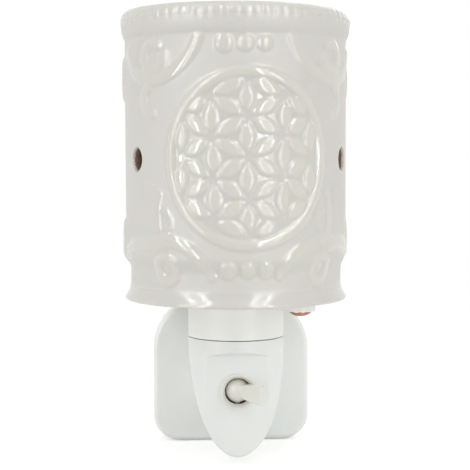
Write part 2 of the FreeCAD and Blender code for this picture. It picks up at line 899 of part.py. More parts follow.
def holder_screw_shell():
    """The brass thread that the lamp's cap turns in, let into the holder's bore."""
    inner = S["cap_radius"] + S["cap_clearance"]
    low = HOLDER_SEAT + S["shell_foot"]
    corners = [
        (inner, low),
        (inner + S["shell_wall"], low),
        (inner + S["shell_wall"], low + S["shell_height"]),
        (inner, low + S["shell_height"]),
    ]
    return put(lathe("holder_screw_shell", corners), y=AXIS_Y)


def holder_centre_contact():
    """A sprung brass tongue, bowed up to the lamp's tip."""
    reach = S["contact_radius"]
    corners = [
        (ZERO, HOLDER_SEAT),
        (reach, HOLDER_SEAT),
        (reach, HOLDER_SEAT + S["shell_wall"]),
        (reach / 2, HOLDER_SEAT + S["contact_height"]),
        (ZERO, HOLDER_SEAT + S["contact_height"]),
    ]
    return put(lathe("holder_centre_contact", corners), y=AXIS_Y)


def retaining_ring():
    """Fluted ring nut on the holder's skirt; it clamps the carrier on the collar."""
    corners = [
        (S["holder_skirt"], CARRIER_TOP),
        (S["ring_radius"], CARRIER_TOP),
        (S["ring_radius"], CARRIER_TOP + S["ring_height"]),
        (S["holder_skirt"], CARRIER_TOP + S["ring_height"]),
    ]
    body = put(lathe("retaining_ring", corners), y=AXIS_Y)
    sketch = new_sketch(body, "XY_Plane")
    ring_of(sketch, S["ring_radius"] + S["flute_radius"] / 2, ZERO, S["flute_radius"])
    DOC.recompute()
    flute = pocket(body, sketch, CARRIER_TOP + S["ring_height"] + S["overrun"], back=True)
    flutes = body.newObject("PartDesign::PolarPattern", "retaining_ring_flutes")
    flutes.Originals = [flute]
    flutes.Axis = (sketch, ["N_Axis"])
    flutes.Angle = 360
    bind(flutes, Occurrences=S["ring_flutes"])
    body.Tip = flutes
    return body


def socket_collar():
    """White sleeve between the lamp housing and the carrier, with a spigot into the housing."""
    spigot = HOUSING_BORE - S["fit_gap"]
    low = S["housing_top"] - S["collar_spigot"]
    foot = S["housing_top"] + S["seam_gap"]
    corners = [
        (S["collar_bore"], low),
        (spigot, low),
        (spigot, foot),
        (S["housing_radius"], foot),
        (S["housing_radius"], COLLAR_TOP),
        (S["holder_shoulder"], COLLAR_TOP),
        (S["holder_shoulder"], COLLAR_LEDGE),
        (S["collar_bore"], COLLAR_LEDGE),
    ]
    return put(lathe("socket_collar", corners), y=AXIS_Y)


# Carrier, screws and nuts that hold the shade

def shade_carrier():
    """Flat bar with a round hub; its two round-ended ears carry the screws."""
    body = new_body("shade_carrier")
    put(body, y=AXIS_Y, z=COLLAR_TOP)
    turned(body, (0, 0, 1), 0)
    body.setExpression("Placement.Rotation.Angle", (-S["carrier_angle"]).text)
    bar = new_sketch(body, "XY_Plane")
    half = S["carrier_width"] / 2
    rectangle(bar, (-S["screw_circle"], -half), (S["screw_circle"], half))
    pad(body, bar, S["carrier_thickness"])
    for x, radius in ((ZERO, S["carrier_hub"]), (S["screw_circle"], half),
                      (-S["screw_circle"], half)):
        disc = new_sketch(body, "XY_Plane")
        ring_of(disc, x, ZERO, radius)
        pad(body, disc, S["carrier_thickness"])
    holes = new_sketch(body, "XY_Plane")
    ring_of(holes, ZERO, ZERO, S["holder_skirt"])
    for side in (1, -1):
        ring_of(holes, side * S["screw_circle"], ZERO, S["screw_radius"] + S["screw_hole_gap"])
    DOC.recompute()
    pocket(body, holes, S["carrier_thickness"] + S["overrun"], back=True)
    return body


def screw_at(name, x, y):
    """Round-head machine screw, head down, under an ear of the carrier."""
    head, rise = S["screw_head_radius"], S["screw_head_height"]
    low = COLLAR_TOP - rise
    corners = [
        (ZERO, low),
        (head / 2, low + rise / 6),
        (head, low + rise * 3 / 4),
        (head, COLLAR_TOP),
        (S["screw_radius"], COLLAR_TOP),
        (S["screw_radius"], COLLAR_TOP + S["screw_length"]),
        (ZERO, COLLAR_TOP + S["screw_length"]),
    ]
    return put(lathe(name, corners, {0: head * 2, 1: head}), x, y)


def carrier_screws():
    places = [screw_point(place) for place in carrier_places()]
    return group("carrier_screws", *[screw_at("carrier_screw_%d" % index, x, y)
                                     for index, (x, y) in enumerate(places)])


def carrier_nuts():
    """Hexagon nuts that stand on the shade's floor."""
    nuts = []
    for index, place in enumerate(carrier_places()):
        x, y = screw_point(place)
        hexagon = DOC.addObject("Part::Prism", "nut_hexagon_%d" % index)
        hexagon.Polygon = 6
        bind(hexagon, Circumradius=S["nut_radius"], Height=S["nut_height"])
        put(hexagon, x, y, FLOOR_TOP)
        bore = upright("nut_bore_%d" % index, S["screw_radius"], FLOOR_TOP - S["overrun"],
                       FLOOR_TOP + S["nut_height"] + S["overrun"], x, y)
        nuts.append(cut("carrier_nut_%d" % index, hexagon, bore))
    return group("carrier_nuts", *nuts)


# Lamp housing: front cover and rear housing

def tongue_prism(name, inset):
    """The tongue's outline as an upright ellipse, driven through the whole housing."""
    edge = DOC.addObject("Part::Ellipse", name + "_edge")
    bind(edge, MajorRadius=HOUSING_REACH - inset, MinorRadius=S["housing_radius"] - inset)
    edge.Placement.Rotation = FreeCAD.Rotation(FreeCAD.Vector(0, 0, 1), FreeCAD.Vector(1, 0, 0),
                                               FreeCAD.Vector(0, -1, 0), "ZXY")
    put(edge, ZERO, AXIS_Y - S["housing_radius"] - S["overrun"], S["housing_top"])
    prism = DOC.addObject("Part::Extrusion", name + "_prism")
    prism.Base = edge
    prism.Solid = True
    prism.DirMode = "Custom"
    prism.Dir = FreeCAD.Vector(0, 1, 0)
    bind(prism, LengthFwd=(S["housing_radius"] + S["overrun"]) * 2)
    return prism


def facet_tool(name, facet_y):
    """What is cut away in front of the flat face, up to the sloping ledge above it."""
    body = new_body(name)
    sketch = new_sketch(body, "YZ_Plane")
    far = AXIS_Y - S["housing_radius"] - S["overrun"]
    step = S["housing_top"] - S["facet_drop"]
    low = S["housing_top"] - HOUSING_REACH - S["overrun"]
    rise = (facet_y - far) * S["facet_slope"] / S["facet_depth"]
    outline(sketch, [(facet_y, low), (facet_y, step), (far, step + rise), (far, low)])
    pad(body, sketch, (S["housing_radius"] + S["overrun"]) * 2).Midplane = True
    return body


def tongue(name, inset, facet_y):
    """A round column narrowed to the tongue's outline and flattened on the front."""
    low = S["housing_top"] - HOUSING_REACH
    column = upright(name + "_column", S["housing_radius"] - inset, low, S["housing_top"],
                     ZERO, AXIS_Y)
    narrowed = common(name + "_narrowed", column, tongue_prism(name, inset))
    return cut(name, narrowed, facet_tool(name + "_facet", facet_y))


def half_space(name, front, back):
    side = S["housing_radius"] + S["overrun"]
    return box(name, (-side, front, -HOUSING_REACH), (side, back, HOUSING_REACH))


def rounded_facet(name, base):
    """Rounds the edge around the flat face, but not the crease under the ledge."""
    DOC.recompute()
    step = float(S["housing_top"] - S["facet_drop"])
    picked = []
    for number, edge in enumerate(base.Shape.Edges, start=1):
        box_of = edge.BoundBox
        off_face = max(abs(box_of.YMin - float(FACET_Y)), abs(box_of.YMax - float(FACET_Y)))
        if off_face < NEAR and box_of.ZMin < step - NEAR:
            picked.append(number)
    piece = DOC.addObject("Part::Fillet", name)
    piece.Base = base
    size = float(S["facet_round"])
    piece.Edges = [(number, size, size) for number in picked]
    return piece


def front_cover():
    """Front half of the tongue, with the switch hole and the boss for its screw."""
    far = AXIS_Y - S["housing_radius"] - S["overrun"]
    whole = common("front_cover_outer", tongue("front_form", ZERO, FACET_Y),
                   half_space("front_half", far, AXIS_Y))
    outer = rounded_facet("front_cover_rounded", whole)
    hollow = tongue("front_hollow", S["housing_wall"], FACET_BACK_Y)
    shell = cut("front_cover_shell", outer, hollow)
    post = inward("front_boss_post", S["boss_radius"], FACET_Y + S["facet_round"], AXIS_Y, z=COVER_SCREW_Z)
    hole = inward("switch_hole", S["bezel_barrel"], far, AXIS_Y, z=SWITCH_Z)
    bore = inward("front_boss_bore", S["cover_screw_radius"], FACET_BACK_Y,
                  AXIS_Y + S["overrun"], z=COVER_SCREW_Z)
    return cut("front_cover", fuse("front_cover_posted", shell, post),
               fuse("front_cover_holes", hole, bore))


def plate_corners(inset):
    """The plug plate's outline: round lower corners and an arched top."""
    half = S["plate_width"] / 2 - inset
    high = S["plate_height"] / 2 - inset
    low_round = S["plate_low_corner"] - inset
    high_round = S["plate_high_corner"] - inset
    corners = [
        (-half + low_round, -high), (half - low_round, -high),
        (half, -high + low_round), (half, high - high_round),
        (half - high_round, high), (-half + high_round, high),
        (-half, high - high_round), (-half, -high + low_round),
    ]
    return corners, {1: low_round, 3: high_round, 5: high_round, 7: low_round}


def plate_slab(name, inset, front, back):
    """A slab with the plate's outline, from one depth to another."""
    body = new_body(name)
    sketch = new_sketch(body, "XZ_Plane")
    corners, rounds = plate_corners(inset)
    outline(sketch, corners, rounds)
    pad(body, sketch, back - front)
    return put(body, y=back)


def round_front(body, radius):
    """Rounds the edges of the face that looks into the room."""
    DOC.recompute()
    base = body.Tip
    front = min(vertex.Point.y for vertex in base.Shape.Vertexes)
    names = ["Edge%d" % number for number, edge in enumerate(base.Shape.Edges, start=1)
             if all(abs(vertex.Point.y - front) < NEAR for vertex in edge.Vertexes)]
    fillet = body.newObject("PartDesign::Fillet", body.Name + "_round")
    fillet.Base = (base, names)
    bind(fillet, Radius=radius)
    body.Tip = fillet
    return body


def base_screw_places():
    out = S["base_screw_out"]
    return [(side * out, S["base_screw_drop"]) for side in (1, -1)]


def rear_housing():
    """Rear half of the tongue, the neck and the front of the plug plate, moulded as one."""
    back = -S["base_thickness"] - S["seam_gap"]
    far = AXIS_Y + S["housing_radius"] + S["overrun"]
    wall = S["housing_wall"]
    plate = round_front(plate_slab("plate_form", ZERO, PLATE_FRONT, back), S["plate_edge_round"])
    half = S["neck_half_width"]
    neck_front = AXIS_Y + S["housing_radius"] / 2
    neck = box("neck_form", (-half, neck_front, -S["neck_low"]),
               (half, CAVITY_FRONT, S["neck_high"]))
    tongue_back = common("rear_form_half", tongue("rear_form", ZERO, FACET_Y),
                         half_space("rear_half", AXIS_Y, far))
    plate_cavity = plate_slab("plate_cavity", S["plate_wall"], CAVITY_FRONT, back + S["overrun"])
    neck_cavity = box("neck_cavity", (-half + wall, neck_front, -S["neck_low"] + wall),
                      (half - wall, CAVITY_FRONT + S["overrun"], S["neck_high"] - wall))
    hollow = tongue("rear_hollow", wall, FACET_BACK_Y)
    whole = fuse("rear_housing_outer", plate, neck, tongue_back)
    shell = cut("rear_housing_shell", whole,
                fuse("rear_housing_hollow", plate_cavity, neck_cavity, hollow))
    wall_back = AXIS_Y + S["housing_radius"]
    head_seat = wall_back - S["cover_head_depth"]
    post = inward("rear_boss_post", S["boss_radius"], AXIS_Y, wall_back - wall / 2, z=COVER_SCREW_Z)
    posts = [post]
    bores = [inward("rear_boss_bore", S["cover_screw_radius"], AXIS_Y - S["overrun"], wall_back,
                    z=COVER_SCREW_Z),
             inward("rear_head_recess", S["cover_head_radius"], head_seat, far, z=COVER_SCREW_Z)]
    for index, (x, z) in enumerate(base_screw_places()):
        posts.append(inward("base_post_%d" % index, S["boss_radius"],
                            PLATE_FRONT + S["plate_wall"] / 2, back, x, z))
        bores.append(inward("base_bore_%d" % index, S["cover_screw_radius"], CAVITY_FRONT,
                            back + S["overrun"], x, z))
    return cut("rear_housing", fuse("rear_housing_posted", shell, *posts),
               fuse("rear_housing_bores", *bores))


def cover_screw():
    """Screw from behind the tongue into the front cover's boss."""
    back = AXIS_Y + S["housing_radius"]
    seat = back - S["cover_head_depth"]
    shank = inward("cover_screw_shank", S["cover_screw_radius"], FACET_BACK_Y, seat, z=COVER_SCREW_Z)
    head = inward("cover_screw_head", S["cover_head_radius"] - S["pivot_clearance"],
                  seat, back - S["cover_head_depth"] / 4, z=COVER_SCREW_Z)
    return fuse("cover_screw", shank, head)


# Plug base with its pins

def plug_base():
    """Back cover of the plug: it closes the plate and holds the pins."""
    thick = S["base_thickness"]
    slab = plate_slab("base_form", S["seam_gap"], -thick, ZERO)
    tools = []
    for side in (1, -1):
        x = side * S["pin_spacing"] / 2
        tools.append(box("pin_slot_%d" % (side + 1),
                         (x - S["pin_width"] / 2, -thick - S["overrun"],
                          -S["pin_row_drop"] - S["pin_thickness"] / 2),
                         (x + S["pin_width"] / 2, S["overrun"],
                          -S["pin_row_drop"] + S["pin_thickness"] / 2)))
    middle = S["pin_row_to_shutter"] - S["pin_row_drop"]
    tools.append(box("shutter_slot", (-S["shutter_width"] / 2, -thick - S["overrun"],
                                      middle - S["shutter_height"] / 2),
                     (S["shutter_width"] / 2, S["overrun"],
                      middle + S["shutter_height"] / 2)))
    for index, (x, z) in enumerate(base_screw_places()):
        tools.append(inward("base_hole_%d" % index, S["cover_screw_radius"],
                            -thick - S["overrun"], S["overrun"], x, z))
        tools.append(inward("base_recess_%d" % index, S["cover_head_radius"],
                            -S["cover_head_depth"], S["overrun"], x, z))
    return cut("plug_base", slab, fuse("plug_base_holes", *tools))


def base_screws():
    """Two screws from the wall side into the bosses behind the plate."""
    screws = []
    for index, (x, z) in enumerate(base_screw_places()):
        seat = -S["cover_head_depth"]
        shank = inward("base_shank_%d" % index, S["cover_screw_radius"],
                       seat - S["base_screw_length"], seat, x, z)
        head = inward("base_head_%d" % index, S["cover_head_radius"] - S["pivot_clearance"],
                      seat, seat * 1 / 4, x, z)
        screws.append(fuse("base_screw_%d" % index, shank, head))
    return group("base_screws", *screws)


def pin_core(name, x):
    """Flat brass pin: a head inside the plug, a core in its sleeve and a bare tip."""
    z = -S["pin_row_drop"]
    half, thick, inset = S["pin_width"] / 2, S["pin_thickness"] / 2, S["pin_core_inset"]
    back = -S["base_thickness"]
    head = box(name + "_head", (x - half, back - S["pin_head_depth"], z - S["pin_head_height"] / 2),
               (x + half, back, z + S["pin_head_height"] / 2))
    core = box(name + "_core", (x - half + inset, back, z - thick + inset),
               (x + half - inset, S["sleeve_length"], z + thick - inset))
    tip = box(name + "_tip", (x - half, S["sleeve_length"], z - thick),
              (x + half, S["pin_length"], z + thick))
    tapered = DOC.addObject("Part::Chamfer", name + "_tapered")
    tapered.Base = tip
    DOC.recompute()
    far = tip.Shape.BoundBox.YMax
    rim = [number for number, edge in enumerate(tip.Shape.Edges, start=1)
           if edge.BoundBox.YMin > far - NEAR]
    size = float(inset)
    tapered.Edges = [(number, size, size) for number in rim]
    return fuse(name, head, core, tapered)


def pin_sleeves():
    """Insulating sleeves on the roots of the two live pins, set through the base."""
    sleeves = []
    z = -S["pin_row_drop"]
    half, thick, inset = S["pin_width"] / 2, S["pin_thickness"] / 2, S["pin_core_inset"]
    back = -S["base_thickness"]
    for side in (1, -1):
        x = side * S["pin_spacing"] / 2
        outer = box("sleeve_outer_%d" % (side + 1), (x - half, back, z - thick),
                    (x + half, S["sleeve_length"], z + thick))
        inner = box("sleeve_inner_%d" % (side + 1),
                    (x - half + inset, back - S["overrun"], z - thick + inset),
                    (x + half - inset, S["sleeve_length"] + S["overrun"], z + thick - inset))
        sleeves.append(cut("pin_sleeve_%d" % (side + 1), outer, inner))
    return group("pin_sleeves", *sleeves)


def shutter_pin():
    """Plastic pin that opens the socket's shutters; a flange holds it behind the base."""
    middle = S["pin_row_to_shutter"] - S["pin_row_drop"]
    half, high = S["shutter_width"] / 2, S["shutter_height"] / 2
    back = -S["base_thickness"]
    flange = S["shutter_flange"]
    shaft = box("shutter_shaft", (-half, back, middle - high),
                (half, S["shutter_length"], middle + high))
    tapered = DOC.addObject("Part::Chamfer", "shutter_tapered")
    tapered.Base = shaft
    DOC.recompute()
    far = shaft.Shape.BoundBox.YMax
    size = float(S["pin_core_inset"])
    tapered.Edges = [(number, size, size) for number, edge in
                     enumerate(shaft.Shape.Edges, start=1) if edge.BoundBox.YMin > far - NEAR]
    head = box("shutter_head", (-half - flange, back - flange, middle - high - flange),
               (half + flange, back, middle + high + flange))
    return fuse("shutter_pin", tapered, head)


def pin_terminal_screws():
    """Slotted clamp screws in the heads of the two pins."""
    screws = []
    head_top = -S["pin_row_drop"] + S["pin_head_height"] / 2
    middle = -S["base_thickness"] - S["pin_head_depth"] / 2
    for side in (1, -1):
        screws.append(upright("terminal_screw_%d" % (side + 1), S["clamp_screw_radius"],
                              head_top, head_top + S["clamp_screw_rise"],
                              side * S["pin_spacing"] / 2, middle))
    return group("pin_terminal_screws", *screws)


# Toggle switch in the front cover

def switch_bezel():
    """Ring pressed into the cover's hole, flared so that the lever can swing."""
    front = FACET_Y - S["bezel_rise"]
    flange = inward("bezel_flange", S["bezel_radius"], front, FACET_Y)
    barrel = inward("bezel_tube", S["bezel_barrel"], front, FACET_BACK_Y)
    hole = inward("bezel_bore", S["bezel_hole"], front - S["overrun"],
                  FACET_BACK_Y + S["overrun"])
    flare = DOC.addObject("Part::Cone", "bezel_cone")
    bind(flare, Radius1=S["bezel_flare"], Radius2=S["bezel_hole"], Height=S["bezel_rise"] * 2)
    put(turned(flare, (1, 0, 0), -90), y=front)
    bezel = cut("switch_bezel", fuse("bezel_outer", flange, barrel),
                fuse("bezel_opening", hole, flare))
    return put(bezel, z=SWITCH_Z)


def at_pivot(piece):
    """Puts a piece of the lever on its pivot, tipped to the right."""
    turned(piece, (0, 0, 1), S["lever_angle"])
    piece.setExpression("Placement.Rotation.Angle", S["lever_angle"].text)
    return put(piece, y=PIVOT_Y, z=SWITCH_Z)


def pivot_half_height():
    """From a pivot's middle to its end, part of the way through the frame's wall."""
    return S["frame_height"] / 2 - S["frame_wall"] / 4


def switch_lever():
    """Ball with a flared paddle in front, a drilled tail behind and a pivot above and below."""
    ball = DOC.addObject("Part::Sphere", "lever_ball")
    bind(ball, Radius=S["ball_radius"])
    paddle = DOC.addObject("Part::Wedge", "lever_paddle")
    tip_side, root_side = S["lever_tip_thickness"] / 2, S["lever_root_thickness"] / 2
    tip_high, root_high = S["lever_tip_height"] / 2, S["lever_root_height"] / 2
    bind(paddle, Ymin=-S["lever_length"], Ymax=-S["ball_radius"] / 2, Xmin=-tip_side,
         Xmax=tip_side, Zmin=-tip_high, Zmax=tip_high, X2min=-root_side, X2max=root_side,
         Z2min=-root_high, Z2max=root_high)
    DOC.recompute()
    soft = DOC.addObject("Part::Fillet", "lever_soft")
    soft.Base = paddle
    soft.Edges = [(number + 1, float(S["lever_round"]), float(S["lever_round"]))
                  for number in range(len(paddle.Shape.Edges))]
    tail = inward("lever_tail", S["tail_radius"], ZERO, S["tail_length"])
    pin = upright("lever_pin", S["pivot_radius"], -pivot_half_height(), pivot_half_height())
    bore = inward("lever_bore", S["plunger_radius"], S["tail_length"] - S["plunger_bore_depth"],
                  S["tail_length"] + S["overrun"])
    return at_pivot(cut("switch_lever", fuse("lever_solid", ball, soft, tail, pin), bore))


def switch_plunger():
    """Brass pin in the lever's tail; its round nose tips the rocker."""
    radius = S["plunger_radius"] - S["pivot_clearance"]
    shank = inward("plunger_shank", radius, S["tail_length"] - S["plunger_bore_depth"] / 2,
                   S["plunger_reach"] - radius)
    nose = DOC.addObject("Part::Sphere", "plunger_nose")
    bind(nose, Radius=radius)
    put(nose, y=S["plunger_reach"] - radius)
    return at_pivot(fuse("switch_plunger", shank, nose))


def switch_spring():
    """Coil spring behind the plunger, at the bottom of the tail's bore."""
    wire = float(S["spring_wire"])
    start = float(S["tail_length"] - S["plunger_bore_depth"]) + wire
    length = float(S["plunger_bore_depth"]) / 2 - 2 * wire
    coil = float(S["plunger_radius"]) - 2 * wire
    helix = Part.makeHelix(length / float(S["spring_turns"]), length, coil)
    ring = Part.Circle(FreeCAD.Vector(coil, 0, 0), FreeCAD.Vector(0, 1, 0), wire)
    spring = Part.Wire(helix).makePipeShell([Part.Wire([ring.toShape()])], True, True)
    spring.rotate(FreeCAD.Vector(0, 0, 0), FreeCAD.Vector(1, 0, 0), -90)
    spring.translate(FreeCAD.Vector(0, start, 0))
    return at_pivot(made("switch_spring", Part.makeCompound(spring.Solids)))


def switch_frame():
    """Open box behind the cover: the lever and the rocker turn in its floor and roof."""
    half, high, wall = S["frame_width"] / 2, S["frame_height"] / 2, S["frame_wall"]
    outer = box("frame_outer", (-half, FRAME_FRONT, SWITCH_Z - high),
                (half, FRAME_BACK, SWITCH_Z + high))
    hollow = box("frame_hollow", (-half + wall, FRAME_FRONT - S["overrun"],
                                  SWITCH_Z - high + wall),
                 (half - wall, FRAME_BACK - wall, SWITCH_Z + high - wall))
    low, top = SWITCH_Z - high - S["overrun"], SWITCH_Z + high + S["overrun"]
    lever_bore = upright("frame_lever_bore", S["pivot_radius"] + S["pivot_clearance"], low, top,
                         ZERO, PIVOT_Y)
    rocker_bore = upright("frame_rocker_bore", S["rocker_pin_radius"] + S["pivot_clearance"],
                          low, top, ZERO, ROCKER_Y)
    slots = [terminal_blade("frame_slot_%d" % index, x, ROCKER_Y)
             for index, x in enumerate((ZERO, S["contact_offset"]))]
    return cut("switch_frame", outer,
               fuse("frame_openings", hollow, lever_bore, rocker_bore, *slots))


def switch_rocker():
    """Bent brass strip on a pin; its wings swing to and from the fixed contacts."""
    body = new_body("switch_rocker")
    half, thick, lift = S["rocker_width"] / 2, S["rocker_thickness"] / 2, S["rocker_lift"]
    strip = new_sketch(body, "XY_Plane")
    outline(strip, [(-half, -lift - thick), (ZERO, -thick), (half, -lift - thick),
                    (half, -lift + thick), (ZERO, thick), (-half, -lift + thick)])
    pad(body, strip, S["rocker_height"]).Midplane = True
    pin = new_sketch(body, "XY_Plane")
    ring_of(pin, ZERO, ZERO, S["rocker_pin_radius"])
    pad(body, pin, pivot_half_height() * 2).Midplane = True
    turned(body, (0, 0, 1), -S["rocker_angle"])
    body.setExpression("Placement.Rotation.Angle", (-S["rocker_angle"]).text)
    return put(body, y=ROCKER_Y, z=SWITCH_Z)


def terminal_blade(name, x, front):
    side, high = S["terminal_thickness"] / 2, S["terminal_width"] / 2
    return box(name, (x - side, front, SWITCH_Z - high),
               (x + side, FRAME_BACK + S["terminal_tail"], SWITCH_Z + high))


def switch_feed_terminal():
    """Brass blade behind the rocker's pin; the live lead is soldered to its tail."""
    front = ROCKER_Y + S["rocker_pin_radius"] + S["contact_gap"]
    return terminal_blade("switch_feed_terminal", ZERO, front)


def switch_load_terminal():
    """Brass blade with a contact button; the switched lead is soldered to its tail."""
    x = S["contact_offset"]
    front = ROCKER_Y + S["rocker_thickness"] / 2 + S["contact_gap"]
    button = inward("load_button", S["button_radius"], front,
                    front + S["terminal_thickness"], x, SWITCH_Z)
    blade = terminal_blade("load_blade", x, front + S["terminal_thickness"] / 2)
    return fuse("switch_load_terminal", button, blade)


# Insulated leads from the pins to the switch and the lampholder

def lead(name, places):
    route = [point(*place) for place in places]
    return made(name, tube_along(route, float(S["lead_radius"]), float(S["lead_bend"])))


def pin_side(side):
    """The inner side of a pin's head, where its lead ends."""
    x = side * (S["pin_spacing"] / 2 - S["pin_width"] / 2)
    return x, -S["base_thickness"] - S["pin_head_depth"] / 2, -S["pin_row_drop"]


def live_lead():
    x, y, z = pin_side(1)
    tail = FRAME_BACK + S["terminal_tail"]
    return lead("live_lead", [(ZERO, tail, SWITCH_Z), (ZERO, y, SWITCH_Z), (ZERO, y, z),
                              (x, y, z)])


def neutral_lead():
    x, y, z = pin_side(-1)
    lane, rise = -S["lead_lane"], S["neutral_rise"]
    back = -S["neutral_lane_y"]
    return lead("neutral_lead", [(x, y, z), (lane + S["pin_core_inset"], y, z),
                                 (lane + S["pin_core_inset"], y, rise),
                                 (lane, back, rise),
                                 (lane, back, HOLDER_SEAT - S["holder_floor"])])


def switched_lead():
    x = S["contact_offset"]
    tail = FRAME_BACK + S["terminal_tail"]
    back, end = -S["switched_lane_y"], -S["switched_end_y"]
    return lead("switched_lead", [(x, tail, SWITCH_Z), (x, back, SWITCH_Z),
                                  (x, back, S["switched_rise"]), (x, end, S["switched_crest"]),
                                  (x, end, HOLDER_SEAT - S["holder_floor"])])


def live_pin():
    return pin_core("live_pin", S["pin_spacing"] / 2)


def neutral_pin():
    return pin_core("neutral_pin", -S["pin_spacing"] / 2)


PIECES = [
    shade, wax_dish,
    bulb_glass, bulb_cap, bulb_insulator, bulb_tip_contact, bulb_stem, bulb_filament,
    holder_body, holder_screw_shell, holder_centre_contact, retaining_ring, socket_collar,
    shade_carrier, carrier_screws, carrier_nuts,
    front_cover, rear_housing, cover_screw,
    plug_base, base_screws, live_pin, neutral_pin, pin_sleeves, shutter_pin,
    pin_terminal_screws,
    switch_bezel, switch_lever, switch_plunger, switch_spring, switch_frame, switch_rocker,
    switch_feed_terminal, switch_load_terminal,
    live_lead, neutral_lead, switched_lead,
]


def check(nodes):
    """Stops before anything is written if an object or a shape has failed."""
    for item in DOC.Objects:
        if "Invalid" in item.State or "Error" in item.State:
            raise RuntimeError("%s did not compute" % item.Label)
    for node in nodes:
        if node.Shape.isNull() or not node.Shape.isValid() or not node.Shape.Solids:
            raise RuntimeError("%s has no valid solid" % node.Label)


def main():
    nodes = [named(build(), build.__name__) for build in PIECES]
    DOC.recompute()
    check(nodes)
    os.makedirs("parts", exist_ok=True)
    for node in nodes:
        node.Shape.exportStep("parts/%s.step" % node.Label)
        print("%-24s %3d solid(s) %10.1f mm3" % (node.Label, len(node.Shape.Solids),
                                                 node.Shape.Volume))


main()
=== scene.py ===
"""Plug-in wax melt warmer: a glazed ceramic shade over a small lamp, on a plug with a toggle."""
import math

import bpy
import numpy as np
from mathutils import Matrix, Vector


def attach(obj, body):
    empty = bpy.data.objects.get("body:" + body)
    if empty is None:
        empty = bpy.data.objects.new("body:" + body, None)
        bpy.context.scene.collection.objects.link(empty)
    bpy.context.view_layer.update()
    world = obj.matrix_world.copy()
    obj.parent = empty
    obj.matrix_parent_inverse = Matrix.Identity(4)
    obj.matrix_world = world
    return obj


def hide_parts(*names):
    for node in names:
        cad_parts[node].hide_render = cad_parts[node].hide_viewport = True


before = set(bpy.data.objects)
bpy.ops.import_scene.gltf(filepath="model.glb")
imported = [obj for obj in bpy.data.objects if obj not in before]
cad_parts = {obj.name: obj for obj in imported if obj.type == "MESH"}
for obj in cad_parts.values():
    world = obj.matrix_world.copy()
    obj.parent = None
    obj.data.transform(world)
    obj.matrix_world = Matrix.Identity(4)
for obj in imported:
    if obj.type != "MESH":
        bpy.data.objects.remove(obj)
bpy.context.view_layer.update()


# Plug base
# Flat back cover of the plug, injection moulded in white polycarbonate. It drops into the rear
# of the housing plate and holds the pins; two screws hold it from the wall side.

def srgb(code):
    """Linear colour of an sRGB hex code."""
    shares = [int(code[i:i + 2], 16) / 255 for i in (1, 3, 5)]
    return [c / 12.92 if c <= 0.04045 else ((c + 0.055) / 1.055) ** 2.4 for c in shares] + [1.0]


def add(tree, kind, values=None, links=None, **settings):
    """A shader node with its settings, its socket values and its incoming links."""
    node = tree.nodes.new("ShaderNode" + kind)
    for name, value in settings.items():
        setattr(node, name, value)
    for name, value in (values or {}).items():
        node.inputs[name].default_value = value
    for name, socket in (links or {}).items():
        tree.links.new(socket, node.inputs[name])
    return node


def finish(name, **values):
    """A material with its Principled shader; keywords are socket names with underscores."""
    material = bpy.data.materials.new(name)
    material.use_nodes = True
    shader = material.node_tree.nodes["Principled BSDF"]
    for socket, value in values.items():
        shader.inputs[socket.replace("_", " ")].default_value = value
    return material, material.node_tree, shader


def mottle(tree, shader, low, high, size_mm, detail=3):
    """Base colour that drifts between two near colours, in patches of a real size.

    Object coordinates are in metres, so a scale of 1000 / size_mm gives that size."""
    place = add(tree, "TexCoord").outputs["Object"]
    noise = add(tree, "TexNoise", {"Scale": 1000 / size_mm, "Detail": detail}, {"Vector": place})
    ramp = add(tree, "ValToRGB", links={"Fac": noise.outputs["Fac"]})
    # The noise keeps mostly between these two values.
    for stop, position, code in zip(ramp.color_ramp.elements, (0.35, 0.65), (low, high)):
        stop.position = position
        stop.color = srgb(code)
    tree.links.new(ramp.outputs["Color"], shader.inputs["Base Color"])
    return place


def grain(tree, shader, place, size_mm, depth_mm, detail=2):
    """Fine surface grain of a real size and depth."""
    noise = add(tree, "TexNoise", {"Scale": 1000 / size_mm, "Detail": detail}, {"Vector": place})
    bump = add(tree, "Bump", {"Strength": 1.0, "Distance": depth_mm / 1000},
               {"Height": noise.outputs["Fac"]})
    tree.links.new(bump.outputs["Normal"], shader.inputs["Normal"])
    return bump


def give(material, *names):
    """Puts one finish on CAD nodes."""
    for name in names:
        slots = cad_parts[name].data.materials
        slots.clear()
        slots.append(material)


def surface(name, low, high, patch_mm, grain_mm, depth_mm, details=(3, 2), **values):
    """A finish whose colour drifts in patches of one real size, with a grain of another.

    Grains up to 0.6 mm are finer on the real part, and drawn this coarse so that they show."""
    material, tree, shader = finish(name, **values)
    place = mottle(tree, shader, low, high, patch_mm, details[0])
    grain(tree, shader, place, grain_mm, depth_mm, details[1])
    return material


def moulded_white(name, low, high):
    """White moulded plastic: satin, faintly translucent, with a fine spark-eroded grain."""
    return surface(name, low, high, patch_mm=25, grain_mm=0.5, depth_mm=0.004,
                   Roughness=0.42, IOR=1.49, Subsurface_Weight=0.08, Subsurface_Scale=0.002)


# The cover's plastic painted lighter, for the plug, the housing and the carrier: painted light
# against the shade that the tongue and the ceramic shade throw on them.
housing = moulded_white("white_moulded_plastic", "#EFF1EE", "#F3F5F2")
give(housing, "plug_base")


# Pins
# Two flat brass pins with insulating sleeves on their roots and a plastic pin that opens the
# socket's shutters. Slotted screws in the pin heads clamp the leads.

# Bright drawn brass, a little dulled by handling.
brass = surface("drawn_brass", "#C9A45C", "#D8B56E", patch_mm=3, grain_mm=0.4, depth_mm=0.002,
                Metallic=1.0, Roughness=0.28)
give(brass, "live_pin", "neutral_pin")

# Black nylon of the sleeves, satin from the mould.
sleeve = surface("black_sleeve_plastic", "#1B1B1C", "#222224", patch_mm=6, grain_mm=0.4,
                 depth_mm=0.003, Roughness=0.45, IOR=1.53)
give(sleeve, "pin_sleeves")
give(housing, "shutter_pin")

